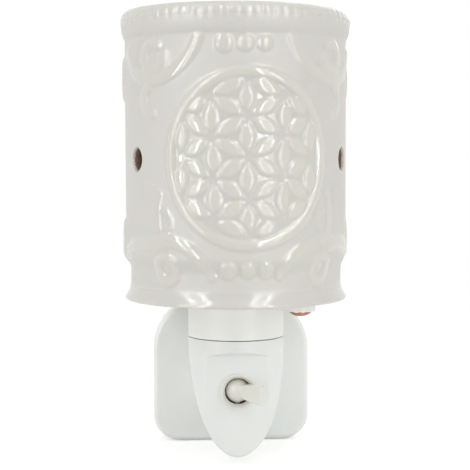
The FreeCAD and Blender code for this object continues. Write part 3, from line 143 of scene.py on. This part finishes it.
# Zinc-plated steel of the small screws, nuts and the spring, bright with a cool grey tone.
zinc = surface("zinc_plated_steel", "#B4B7BA", "#C6C8CA", patch_mm=1.5, grain_mm=0.25,
               depth_mm=0.002, Metallic=1.0, Roughness=0.3)
give(zinc, "base_screws", "pin_terminal_screws")


# Rear housing
# One white moulding: the flat plate against the wall and the half-round back of the tongue
# with the bosses for the screws.

# The plate takes the lighter copy: painted light against the shade of the tongue and the ceramic.
give(housing, "rear_housing")


# Leads
# Stranded copper leads in brown and blue insulation between the pins, the toggle and the
# lampholder.

# Soft PVC insulation, brown for the live side, with a slightly waxy shine.
brown = surface("brown_pvc_insulation", "#5A3A26", "#64422C", patch_mm=5, grain_mm=0.6,
                depth_mm=0.004, Roughness=0.38, IOR=1.53)
give(brown, "live_lead", "switched_lead")

# The same insulation in blue for the neutral side.
blue = surface("blue_pvc_insulation", "#2F5E95", "#376BA5", patch_mm=5, grain_mm=0.6,
               depth_mm=0.004, Roughness=0.38, IOR=1.53)
give(blue, "neutral_lead")


# Toggle switch
# Black frame with two brass contacts; the rocker between them is tipped by a sprung plunger in
# the root of the white lever, which shows through a round bezel in the cover.

# Black phenolic moulding of the switch frame, dull.
frame_plastic = surface("black_switch_plastic", "#1D1C1B", "#252423", patch_mm=4, grain_mm=0.4,
                        depth_mm=0.004, Roughness=0.5, IOR=1.55)
give(frame_plastic, "switch_frame")
give(brass, "switch_feed_terminal", "switch_load_terminal", "switch_rocker", "switch_plunger")
give(zinc, "switch_spring")

# Acetal of the lever and its bezel, glossier and a little greyer than the housing.
acetal = surface("white_lever_plastic", "#E2E1D9", "#E8E7DF", patch_mm=12, grain_mm=0.5,
                 depth_mm=0.002, Roughness=0.3, IOR=1.48, Subsurface_Weight=0.1,
                 Subsurface_Scale=0.0015)
give(acetal, "switch_lever", "switch_bezel")


# Front cover
# White moulded front of the tongue with a flat facet for the toggle; one screw low in the back
# pulls the two halves together.

# The plastic's own colour; the housing's and the collar's copies of it are painted lighter.
cover_plastic = moulded_white("greyish_white_moulded_plastic", "#E7E9E6", "#EBEDEA")
give(cover_plastic, "front_cover")
give(zinc, "cover_screw")


# Lampholder
# Small screw lampholder moulded in cream heat-resistant resin, with a rolled brass shell and a
# sprung brass centre contact.

# Heat-resistant urea resin, warm cream and half matt.
resin = surface("cream_holder_resin", "#E2DDCF", "#E9E5D8", patch_mm=8, grain_mm=0.4,
                depth_mm=0.005, Roughness=0.5, IOR=1.6)
give(resin, "holder_body")
give(brass, "holder_screw_shell", "holder_centre_contact")


# Collar and retaining ring
# The collar closes the top of the tongue around the lampholder; a fluted ring clamps the
# shade carrier down on it.

# The same plastic painted lighter and a touch warmer, as painted light against the shade under the
# ceramic.
collar_plastic = moulded_white("collar_plastic_painted_lighter", "#F1F2EC", "#F4F5F0")
give(collar_plastic, "socket_collar", "retaining_ring")


# Shade carrier
# White moulded bar with an ear at each side; a copper-plated dome screw through each ear holds
# the ceramic shade, with a nut on the floor inside.

# The carrier takes the same lighter copy: painted light under the ceramic shade.
give(housing, "shade_carrier")

# Copper-plated steel, polished, with a faint darker tarnish.
copper = surface("copper_plated_steel", "#8C6552", "#A47A64", patch_mm=2, grain_mm=0.3,
                 depth_mm=0.002, Metallic=1.0, Roughness=0.24)
give(copper, "carrier_screws")
give(zinc, "carrier_nuts")


# Ceramic shade
# Slip-cast earthenware tube with a floor, dipped in a milky off-white glaze that rounds its
# moulded relief: medallion, scrolls and beads, the same on the front and on the back.

# Sizes of the solid: heights and radii in millimetres, the axis' place in metres, the turn of
# the relief in degrees.
SIZES = {"axis": -0.040, "foot": 28.0, "floor_top": 33.0, "body": 35.6, "bore": 31.2,
         "rim": 37.1, "mouth": 33.4, "ledge": 114.0, "top": 121.0, "opening": 19.0,
         "middle": 73.0, "turn": 1.9}
COLUMNS = 720  # half a degree, 0.31 mm on the wall
ROW_MM = 0.31


def bowed(start, end, radius, count):
    """Points on an arc between two points; a positive radius bows it to the right of the way."""
    start, end = np.array(start, float), np.array(end, float)
    chord = end - start
    length = np.hypot(*chord)
    side = np.array([chord[1], -chord[0]]) / length * (1 if radius > 0 else -1)
    centre = (start + end) / 2 - side * math.sqrt(radius * radius - length * length / 4)
    first = math.atan2(*(start - centre)[::-1])
    sweep = math.atan2(*(end - centre)[::-1]) - first
    sweep = (sweep + math.pi) % (2 * math.pi) - math.pi
    angles = first + sweep * np.linspace(0, 1, count)
    return centre + abs(radius) * np.stack([np.cos(angles), np.sin(angles)], axis=1)


def straight(start, end, step=ROW_MM):
    """Evenly spaced points on a line, about one step apart."""
    count = max(2, int(round(math.dist(start, end) / step)) + 1)
    return np.linspace(start, end, count)


def leaf_depth(along, across, length, width):
    """Distance inside a leaf outline with two pointed ends, negative outside it."""
    radius = (length * length + width * width) / (4 * width)
    return radius - np.hypot(along, np.abs(across) + radius - width / 2)


def dome(share):
    """Half-round section: 0 at the edge of a form and 1 on its crest."""
    share = np.clip(share, 0, 1)
    return np.sqrt(1 - (1 - share) ** 2)


def stroke(u, v, middle, radius, first, last, halves):
    """A rounded band along an arc, whose half width runs from one value to another."""
    span, way = abs(last - first), math.copysign(1, last - first)
    along = ((np.degrees(np.arctan2(v - middle[1], u - middle[0])) - first) * way) % 360
    past_end = along - span < 360 - along
    along = np.where(along <= span, along, np.where(past_end, span, 0))
    here = np.radians(first + way * along)
    reach = np.hypot(u - middle[0] - radius * np.cos(here), v - middle[1] - radius * np.sin(here))
    return dome(1 - reach / (halves[0] + (halves[1] - halves[0]) * along / span))


# Meeting points of the leaves in millimetres from the medallion's middle, column by column. The
# carved lattice is not quite regular.
LATTICE = {
    (-2, 2): (-20.1, 13.9), (-2, 0): (-20.1, 0.4), (-2, -2): (-20.1, -11.8),
    (-1, 3): (-10.9, 18.9), (-1, 1): (-10.5, 6.5), (-1, -1): (-9.8, -5.8), (-1, -3): (-9.6, -18.0),
    (0, 4): (0.4, 24.4), (0, 2): (0.4, 12.9), (0, 0): (0.4, 0.5), (0, -2): (0.5, -12.2),
    (0, -4): (1.0, -23.2),
    (1, 3): (11.8, 19.0), (1, 1): (11.5, 7.4), (1, -1): (11.1, -5.4), (1, -3): (11.0, -18.4),
    (2, 2): (21.0, 13.1), (2, 0): (21.0, 0.3), (2, -2): (21.0, -12.4),
}
LEAF_GAP = 2.7
LEAF_WIDTH = 4.9
LEAF_HEIGHT = 1.05
RING = {"across": 0.9, "up": 0.2, "oval": 0.955, "radius": 26.1, "half": 1.75, "height": 0.9}
SUNK = {"radius": 25.0, "edge": 0.9, "depth": 0.35}


def medallion(u, v):
    """Flower-of-life leaves in a sunk field, with a raised ring round it."""
    reach = np.hypot((u - RING["across"]) / RING["oval"], v - RING["up"])
    ring = RING["height"] * dome(1 - np.abs(reach - RING["radius"]) / RING["half"])
    field = np.zeros_like(u)
    for (column, step), here in LATTICE.items():
        for side, climb in ((0, 2), (1, 1), (1, -1)):
            there = LATTICE.get((column + side, step + climb))
            if there is None:
                continue
            x, z = (here[0] + there[0]) / 2, (here[1] + there[1]) / 2
            slant = math.atan2(there[1] - here[1], there[0] - here[0])
            along = (u - x) * math.cos(slant) + (v - z) * math.sin(slant)
            across = (v - z) * math.cos(slant) - (u - x) * math.sin(slant)
            depth = leaf_depth(along, across, math.dist(here, there) - LEAF_GAP, LEAF_WIDTH)
            # A nearly flat crest with tight shoulders, which catch a thin line of light.
            share = 1 - np.clip(depth * 2 / LEAF_WIDTH, 0, 1)
            field = np.maximum(field, LEAF_HEIGHT * (1 - share ** 5) ** 0.6)
    sunk = np.clip((SUNK["radius"] - reach) / SUNK["edge"], 0, 1)
    return np.maximum(ring, field * sunk) - SUNK["depth"] * sunk


SCROLL_HEIGHT = 0.58
FAINT = 0.55  # the two strokes beside the medallion's foot are flooded by glaze


def scrolls(u, v):
    """Scrolls of the four corners; the left ones are drawn and the right ones mirror them."""
    u = -np.abs(u)
    height = stroke(u, v, (-31.5, 42.0), 17.6, 210, 343, (2.3, 1.9))
    for form in (
        stroke(u, v, (-31.2, 31.0), 4.3, 60, 360, (1.7, 2.6)),
        stroke(u, v, (-31.3, 18.4), 4.4, 120, 272, (2.2, 1.6)),
        stroke(u, v, (-26.5, -41.5), 16.8, 22, 112, (1.8, 2.2)),
        stroke(u, v, (-35.0, -54.0), 28.0, 80, 117, (2.2, 2.0)),
        FAINT * stroke(u, v, (-10.0, -17.5), 20.0, 160, 205, (1.6, 2.0)),
        FAINT * stroke(u, v, (-27.2, -18.8), 2.9, 75, -60, (1.4, 1.4)),
        stroke(u, v, (-26.5, -33.7), 3.6, 0, 358, (1.6, 1.8)),
    ):
        height = np.maximum(height, form)
    blob = 0.7 * dome(1 - np.hypot(u + 26.2, v + 33.4) / 1.6)
    return SCROLL_HEIGHT * np.maximum(height, blob)


# Three beads over and under the medallion: their height, then place across and radius of each.
BEAD_ROWS = ((34.6, ((-6.7, 3.0), (0.0, 2.5), (5.8, 2.4))),
             (-33.6, ((-5.6, 2.7), (0.6, 2.4), (6.2, 2.6))))
SIDE_LEAF = {"across": 55.9, "up": (25.5, -26.0), "length": 15.0, "width": 6.0, "height": 0.95}


def relief_over(u, v):
    """Relief over the wall, in millimetres out, at arc length u and height v."""
    height = np.maximum(medallion(u, v), scrolls(u, v))
    for rise, places in BEAD_ROWS:
        for place, size in places:
            height = np.maximum(height, dome(1 - np.hypot(u - place, v - rise) / size))
    leaf = SIDE_LEAF
    side = np.abs(u) - leaf["across"]
    for rise in leaf["up"]:
        depth = leaf_depth(v - rise, side, leaf["length"], leaf["width"])
        height = np.maximum(height, leaf["height"] * dome(depth / (leaf["width"] / 2)))
    return height


def blurred(grid, passes):
    """The glaze's rounding: each pass spreads every height a little over its neighbours."""
    for _ in range(passes):
        grid = (np.roll(grid, 1, axis=1) + 2 * grid + np.roll(grid, -1, axis=1)) / 4
        padded = np.pad(grid, ((1, 1), (0, 0)), mode="edge")
        grid = (padded[:-2] + 2 * padded[1:-1] + padded[2:]) / 4
    return grid


def shade_profile():
    """The cast section, from the floor opening out over the foot, up the wall and back inside."""
    s = SIZES
    low, high, lip = s["foot"] + 5.4, 110.8, s["top"] - 0.8
    heel, edge = 35.3, 36.0
    levels = np.arange(low, high, ROW_MM)
    # The wall is drawn in above the foot and swells to the body over five millimetres.
    share = np.clip((levels - 38.0) / 5.0, 0, 1)
    waist = s["body"] - 1.6 + 1.6 * share * share * (3 - 2 * share)
    # The rim is widest low down and turns in to its lip by way of a tighter corner.
    rim, widest, corner = s["rim"] - 0.45, 116.4, 118.7
    return [
        ("glazed", straight((s["opening"], s["foot"]), (heel, s["foot"]), 2.0)),
        ("foot", bowed((heel, s["foot"]), (edge, s["foot"] + 0.8), 0.8, 6)),
        ("foot", bowed((edge, s["foot"] + 0.8), (waist[0], low), -9.0, 15)),
        ("wall", np.stack([waist, levels], axis=1)),
        ("rim", bowed((s["body"], high), (rim, widest), 9.0, 16)),
        ("rim", bowed((rim, widest), (rim - 0.5, corner), 7.0, 9)),
        ("rim", bowed((rim - 0.5, corner), (rim - 1.9, lip - 0.2), 2.1, 8)),
        ("glazed", bowed((rim - 1.9, lip - 0.2), (rim - 2.3, lip), 0.8, 3)),
        ("glazed", straight((rim - 2.3, lip), (s["mouth"] + 0.6, lip))),
        ("glazed", bowed((s["mouth"] + 0.6, lip), (s["mouth"], s["top"] - 1.6), 0.8, 4)),
        ("glazed", straight((s["mouth"], s["top"] - 1.6), (s["mouth"], s["ledge"]), 0.9)),
        ("glazed", straight((s["mouth"], s["ledge"]), (s["bore"], s["ledge"]), 0.7)),
        ("bare", straight((s["bore"], s["ledge"]), (s["bore"], s["floor_top"]), 2.0)),
        ("bare", straight((s["bore"], s["floor_top"]), (s["opening"], s["floor_top"]), 2.0)),
        ("bare", straight((s["opening"], s["floor_top"]), (s["opening"], s["foot"]), 1.2)),
    ]


rows, kinds = [], []
for kind, points in shade_profile():
    for point in points[:-1]:
        rows.append(point)
        kinds.append(kind)
rows, kinds = np.array(rows), np.array(kinds)

# The rows of the bore beside the vents repeat those of the wall, so a vent joins them one to one.
VENT = {"length": 7.0, "width": 5.6, "angle": 65.3}
off_middle = np.abs(rows[:, 1] - SIZES["middle"])
near = (kinds == "wall") & (off_middle < VENT["length"] / 2 + 1.5)
levels = rows[near, 1]
inside = (kinds == "bare") & (rows[:, 0] > SIZES["bore"] - 0.01)
above = np.where(inside & (rows[:, 1] > levels.max() + 1))[0]
below = np.where(inside & (rows[:, 1] < levels.min() - 1))[0]
bore = np.stack([np.full(len(levels), SIZES["bore"]), levels[::-1]], axis=1)
outer_first = int(np.where(near)[0][0])
inner_first = int(above[-1]) + 1
rows = np.concatenate([rows[:above[-1] + 1], bore, rows[below[0]:]])
kinds = np.concatenate([kinds[:above[-1] + 1], np.full(len(bore), "bare"), kinds[below[0]:]])

theta = np.arange(COLUMNS) / COLUMNS * 2 * math.pi
phi = theta - math.radians(SIZES["turn"])
fold = (phi + math.pi / 2) % math.pi - math.pi / 2
u_grid = np.broadcast_to(fold * SIZES["body"], (len(rows), COLUMNS)).copy()
v_grid = np.broadcast_to((rows[:, 1] - SIZES["middle"])[:, None], (len(rows), COLUMNS)).copy()
radius = np.broadcast_to(rows[:, 0][:, None], (len(rows), COLUMNS)).copy()
level = np.broadcast_to(rows[:, 1][:, None], (len(rows), COLUMNS)).copy()
turn = np.broadcast_to(theta, (len(rows), COLUMNS)).copy()
relief = np.zeros_like(radius)

wall = kinds == "wall"
relief[wall] = relief_over(u_grid[wall], v_grid[wall])
rim = kinds == "rim"
# The rim's beads: their number, the radius and height of their circle, half sizes and relief.
BEADS = {"number": 70, "circle": 36.9, "up": 117.4, "halves": (1.55, 2.0), "height": 0.36}
bead = (phi * BEADS["number"] / (2 * math.pi) + 0.5) % 1 - 0.5
pitch = 2 * math.pi * BEADS["circle"] / BEADS["number"]
across = np.broadcast_to(bead * pitch, (len(rows), COLUMNS))
reach = np.hypot(across[rim] / BEADS["halves"][0], (level[rim] - BEADS["up"]) / BEADS["halves"][1])
relief[rim] = BEADS["height"] * dome(1 - reach)
outside = np.where(wall | rim)[0]
relief[outside] = blurred(relief[outside], 2)

# The glaze rounds the vents' edges over 1.3 mm and 0.9 mm deep.
EDGE_REACH, EDGE_DROP = 1.3, 0.9
vent_u = np.abs(u_grid) - math.radians(VENT["angle"]) * SIZES["body"]
vent_depth = leaf_depth(v_grid, vent_u, VENT["length"], VENT["width"])
edge = np.clip(1 + vent_depth / EDGE_REACH, 0, 1) * (np.abs(vent_u) < VENT["width"] + 0.4)
relief[wall] = (relief * (1 - edge) - EDGE_DROP * (1 - np.sqrt(1 - edge ** 2)))[wall]

# The foot runs into the wall without a crease, from the last row of its rounded heel up.
HEEL_ROWS = 4
skin_rows = np.concatenate([np.where(kinds == "foot")[0][HEEL_ROWS:], np.where(wall)[0]])
radius[skin_rows] = blurred(radius[skin_rows], 5)

# Slip casting and the glaze leave the wall a few hundredths of a millimetre out of true, in three
# swells and seven smaller ones round the shade.
wobble = 0.048 * np.sin(3 * turn + level / 19) + 0.032 * np.sin(7 * turn - level / 11 + 1.3)
radius = radius + np.where((wall | rim)[:, None], relief + wobble, 0)
# Nothing passes the radius of the solid's rim.
radius = np.minimum(radius, SIZES["rim"] - 0.01)

# Cells inside a vent are left out, their edge moves to the leaf outline and walls join the skins.
span = len(levels)
cell_u = vent_u[outer_first:outer_first + span - 1]
cell_u = (cell_u + np.roll(cell_u, -1, axis=1)) / 2
cell_v = v_grid[outer_first:outer_first + span]
cell_v = (cell_v[:-1] + cell_v[1:]) / 2
gone = leaf_depth(cell_v, cell_u, VENT["length"], VENT["width"]) > 0
touched = np.zeros((span, COLUMNS), int)
for down in (0, 1):
    for side in (0, 1):
        touched[down:span - 1 + down] += np.roll(gone, side, axis=1)
vent_edge = np.argwhere((touched > 0) & (touched < 4))
leaf_radius = (VENT["length"] ** 2 + VENT["width"] ** 2) / (4 * VENT["width"])
for i, j in vent_edge:
    outer_row, inner_row = outer_first + i, inner_first + span - 1 - i
    out, up = vent_u[outer_row, j], v_grid[outer_row, j]
    flip = 1 if out >= 0 else -1
    centre = -flip * (leaf_radius - VENT["width"] / 2)
    away = math.hypot(out - centre, up)
    new_out = centre + (out - centre) / away * leaf_radius
    new_out = new_out if new_out * flip > 0 else 0.0
    new_up = up / away * leaf_radius
    mirror = 1 if fold[j] >= 0 else -1
    for row in (outer_row, inner_row):
        turn[row, j] += mirror * (new_out - out) / SIZES["body"]
        level[row, j] += new_up - up

# The grid becomes a closed mesh of quads, in metres, with front at minus y.
count = len(rows)
points = np.stack([radius * np.sin(turn) / 1000,
                   SIZES["axis"] - radius * np.cos(turn) / 1000,
                   level / 1000], axis=2).reshape(-1, 3)
i, j = np.meshgrid(np.arange(count), np.arange(COLUMNS), indexing="ij")
next_i, next_j = (i + 1) % count, (j + 1) % COLUMNS
quads = np.stack([i * COLUMNS + j, i * COLUMNS + next_j,
                  next_i * COLUMNS + next_j, next_i * COLUMNS + j], axis=2)
keep = np.ones((count, COLUMNS), bool)
keep[outer_first:outer_first + span - 1] &= ~gone
keep[inner_first:inner_first + span - 1] &= ~gone[::-1]
material_of = np.broadcast_to((kinds == "bare").astype(int)[:, None], (count, COLUMNS))
faces = [quads[keep]]
face_kind = [material_of[keep]]
bridges = []
for i, j in np.argwhere(gone):
    corners = ((i, j), (i, (j + 1) % COLUMNS), (i + 1, (j + 1) % COLUMNS), (i + 1, j))
    beside = ((i - 1, j), (i, (j + 1) % COLUMNS), (i + 1, j), (i, (j - 1) % COLUMNS))
    for number, cell in enumerate(beside):
        if not gone[cell]:
            here, there = corners[number], corners[(number + 1) % 4]
            outer_pair = [(outer_first + p[0]) * COLUMNS + p[1] for p in (here, there)]
            inner_pair = [(inner_first + span - 1 - p[0]) * COLUMNS + p[1] for p in (there, here)]
            bridges.append(outer_pair + inner_pair)
faces.append(np.array(bridges))
face_kind.append(np.ones(len(bridges), int))
faces, face_kind = np.concatenate(faces), np.concatenate(face_kind)

skin = bpy.data.meshes.new("ceramic_shade")
skin.vertices.add(len(points))
skin.vertices.foreach_set("co", points.ravel())
skin.loops.add(faces.size)
skin.loops.foreach_set("vertex_index", faces.ravel().astype(np.int32))
skin.polygons.add(len(faces))
skin.polygons.foreach_set("loop_start", np.arange(0, faces.size, 4, dtype=np.int32))
skin.polygons.foreach_set("material_index", face_kind.astype(np.int32))
skin.polygons.foreach_set("use_smooth", np.ones(len(faces), bool))
# The relief's height colours the glaze, with painted shade in the hollows and painted light on the
# crests. Its polish is full over the medallion and wherever the relief reaches 0.12 mm, and low on
# the plain wall.
crest = skin.attributes.new("relief", "FLOAT", "POINT")
crest.data.foreach_set("value", relief.ravel().astype(np.float32))
FULL_POLISH_AT, MEDALLION_REACH, BEYOND_WALL, ON_RIM = 0.12, 26.0, 0.8, 0.75
gloss = np.clip(np.abs(blurred(relief, 3)) / FULL_POLISH_AT, 0, 1)
gloss[np.hypot(u_grid - RING["across"], v_grid - RING["up"]) < MEDALLION_REACH] = 1.0
gloss[~wall & ~rim] = BEYOND_WALL
gloss[rim] *= ON_RIM
gloss = blurred(gloss, 10)
polish = skin.attributes.new("polish", "FLOAT", "POINT")
polish.data.foreach_set("value", gloss.ravel().astype(np.float32))
skin.update(calc_edges=True)
skin.validate()
shade = bpy.data.objects.new("ceramic_shade", skin)
bpy.context.collection.objects.link(shade)
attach(shade, "warmer")
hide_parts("shade")

# Milky off-white glaze whose colour follows the relief's height: darker and pinkish in the hollows
# and lighter on the crests, partly from thick glaze in the hollows and thin glaze on the crests,
# and partly as painted shade in the hollows and painted light on the crests. Glossy over the
# relief and satin on the plain wall, with an orange-peel grain of 2.2 mm.
PATCH_MM, PATCH_SHARE = 22, 0.55
glaze, tree, shader = finish("offwhite_glaze_painted_light_and_shade", IOR=1.5, Subsurface_Weight=0.12,
                             Subsurface_Scale=0.0015)
place = add(tree, "TexCoord").outputs["Object"]
high = add(tree, "Attribute", attribute_name="relief").outputs["Fac"]
drift = add(tree, "TexNoise", {"Scale": 1000 / PATCH_MM, "Detail": 4}, {"Vector": place})
share = add(tree, "Math", {1: PATCH_SHARE}, {0: drift.outputs["Fac"]}, operation="MULTIPLY")
mixed = add(tree, "Math", links={0: share.outputs[0], 1: high}, operation="ADD")
ramp = add(tree, "ValToRGB", links={"Fac": mixed.outputs[0]})
# The hollow stop is painted shade and the top stop painted light, over the glaze's plain tone.
shaded_hollow, top = ramp.color_ramp.elements
shaded_hollow.position, shaded_hollow.color = 0.0, srgb("#C0B2AB")
top.position, top.color = 1.0, srgb("#D9D7CE")
ramp.color_ramp.elements.new(0.22).color = srgb("#D3D1CB")
tree.links.new(ramp.outputs["Color"], shader.inputs["Base Color"])
shine = add(tree, "Attribute", attribute_name="polish").outputs["Fac"]
fire = add(tree, "MapRange", {"To Min": 0.6, "To Max": 0.05}, {"Value": shine})
tree.links.new(fire.outputs["Result"], shader.inputs["Roughness"])
grain(tree, shader, place, size_mm=2.2, depth_mm=0.015, detail=3)
skin.materials.append(glaze)

# Bare biscuit clay of the bore, brown and matt: partly the clay's own colour and partly painted
# shade for the dim inside of the shade and its vents.
biscuit = surface("biscuit_clay_painted_shade", "#7D6450", "#8B715B", patch_mm=6, grain_mm=0.5,
                  depth_mm=0.03, details=(6, 6), Roughness=0.85, IOR=1.5)
skin.materials.append(biscuit)


# Lamp
# Small clear pygmy lamp with a screw cap: blown soda glass, a coiled filament on a glass stem,
# a rolled cap, a black glass insulator and a soldered tip.

# Blown soda-lime glass, clear and smooth, with a faint waviness.
glass = surface("clear_lamp_glass", "#F6F8F6", "#FBFCFB", patch_mm=20, grain_mm=6.0, depth_mm=0.01,
                Roughness=0.02, IOR=1.52, Transmission_Weight=1.0)
give(glass, "bulb_glass", "bulb_stem")

# Nickel-plated brass of the cap, a warm grey shine.
nickel = surface("nickel_plated_cap", "#C4C0B6", "#D3CFC6", patch_mm=2, grain_mm=0.3,
                 depth_mm=0.002, Metallic=1.0, Roughness=0.25)
give(nickel, "bulb_cap")

# Black vitrite glass of the insulator, pressed and shiny.
vitrite = surface("black_vitrite_glass", "#121214", "#1A1A1D", patch_mm=3, grain_mm=0.5,
                  depth_mm=0.004, Roughness=0.15, IOR=1.6)
give(vitrite, "bulb_insulator")

# Tin solder, set dull grey.
solder = surface("tin_solder", "#A4A5A6", "#B6B7B8", patch_mm=1, grain_mm=0.3, depth_mm=0.01,
                 Metallic=1.0, Roughness=0.4)
give(solder, "bulb_tip_contact")

# Drawn tungsten wire, dark grey.
tungsten = surface("tungsten_wire", "#6E6E70", "#7C7C7E", patch_mm=1, grain_mm=0.1, depth_mm=0.001,
                   Metallic=1.0, Roughness=0.35)
give(tungsten, "bulb_filament")


# Wax dish
# Slip-cast saucer in the same glaze; its lip lies on the ledge inside the mouth of the shade.

# The dish's glaze, without the wall's relief.
dish_glaze = surface("offwhite_dish_glaze", "#D2CEC7", "#DAD6CF", patch_mm=18, grain_mm=2.2,
                     depth_mm=0.015, details=(4, 3), Roughness=0.4, IOR=1.5,
                     Subsurface_Weight=0.12, Subsurface_Scale=0.0015, Coat_Weight=1.0,
                     Coat_Roughness=0.04, Coat_IOR=1.5)
give(dish_glaze, "wax_dish")


# Studio
# White paper floor and sky. Two narrow softboxes, one overhead, one behind and four wide fills
# light the object softly; two tall panels with bright edges show in the gloss only.

STAND = 1.2  # metres from the object to most of the lamps


def softbox(name, azimuth, height, distance, size, watts):
    """A softbox of a width and a height that faces the middle of the object."""
    light = bpy.data.lights.new(name, "AREA")
    light.shape = "RECTANGLE"
    light.size, light.size_y = size
    light.energy = watts
    lamp = bpy.data.objects.new(name, light)
    bpy.context.collection.objects.link(lamp)
    aim = Vector((0, SIZES["axis"], 0.06))
    flat, up = math.radians(azimuth), math.radians(height)
    way = Vector((math.sin(flat) * math.cos(up), -math.cos(flat) * math.cos(up), math.sin(up)))
    lamp.location = aim + way * distance
    lamp.rotation_euler = way.to_track_quat("Z", "Y").to_euler()
    return lamp


def reflector(name, azimuth, width, watts):
    """A tall panel with brighter edges that only shows as a reflection in glossy surfaces."""
    strip, tall = 0.035, 1.9
    for part, off, size, share in (("", 0, width, 1.0), ("_near", -1, strip, 1.45),
                                   ("_far", 1, strip, 1.45)):
        turned = azimuth + off * math.degrees(width / 2 / STAND)
        panel = softbox(name + part, turned, 18, STAND, (size, tall), watts * share)
        panel.visible_diffuse = False


softbox("softbox_left", -50, 38, STAND, (0.15, 0.7), 1.3).visible_glossy = False
softbox("softbox_right", 28, 40, STAND, (0.13, 0.7), 1.1).visible_glossy = False
softbox("softbox_top", -10, 80, 1.3, (0.9, 0.9), 1.8)
softbox("softbox_back", 155, 30, STAND, (0.4, 0.9), 2.6)
for name, azimuth, height, watts in (
    ("fill_left", -85, 22, 2.9), ("fill_right", 66, 22, 2.9),
    ("fill_low_left", -34, 2, 1.2), ("fill_low_right", 38, 2, 1.1),
):
    softbox(name, azimuth, height, STAND, (0.8, 0.8), watts).visible_glossy = False

reflector("reflector_left", -50, 0.40, 4.4)
reflector("reflector_right", 28, 0.34, 3.7)


def seen_light(tree, unseen, seen):
    """A strength for the rays that light the object, and another for those that see the studio."""
    rays = add(tree, "LightPath").outputs
    share = rays["Is Camera Ray"]
    for kind in ("Is Glossy Ray", "Is Transmission Ray"):
        share = add(tree, "Math", links={0: share, 1: rays[kind]}, operation="MAXIMUM").outputs[0]
    return add(tree, "MapRange", {"To Min": unseen, "To Max": seen}, {"Value": share}).outputs[0]


# White paper under the part, 0.3 mm below its lowest face.
bpy.ops.mesh.primitive_plane_add(size=0.7, location=(0, 0, -0.0253))
floor = bpy.context.object
floor.name = "floor"
paper, tree, shader = finish("white_paper_sweep", Roughness=0.9,
                             Emission_Color=(1.0, 1.0, 1.0, 1.0))
mottle(tree, shader, "#F2F2F2", "#F4F4F4", size_mm=400)
tree.links.new(seen_light(tree, 0.0, 0.32), shader.inputs["Emission Strength"])
floor.data.materials.append(paper)

# The sky is seen at full white and lights the object at about half of it.
world = bpy.data.worlds.new("studio")
bpy.context.scene.world = world
world.use_nodes = True
back = world.node_tree.nodes["Background"]
back.inputs["Color"].default_value = (1.0, 1.0, 1.0, 1.0)
world.node_tree.links.new(seen_light(world.node_tree, 0.53, 1.0), back.inputs["Strength"])

# The photograph's view: a long lens a few degrees to the left and a few above.
eye = bpy.data.cameras.new("photo_view")
eye.sensor_width = 36.0
eye.lens = 103.9
camera = bpy.data.objects.new("photo_view", eye)
bpy.context.collection.objects.link(camera)
yaw, pitch, roll = math.radians(-3.377), math.radians(90 - 3.465), math.radians(-0.1)
camera.matrix_world = (Matrix.Translation((-0.0262, -0.4802, 0.075)) @ Matrix.Rotation(yaw, 4, "Z")
                       @ Matrix.Rotation(pitch, 4, "X") @ Matrix.Rotation(roll, 4, "Z"))
bpy.context.scene.camera = camera
bpy.context.scene.view_settings.view_transform = "Standard"
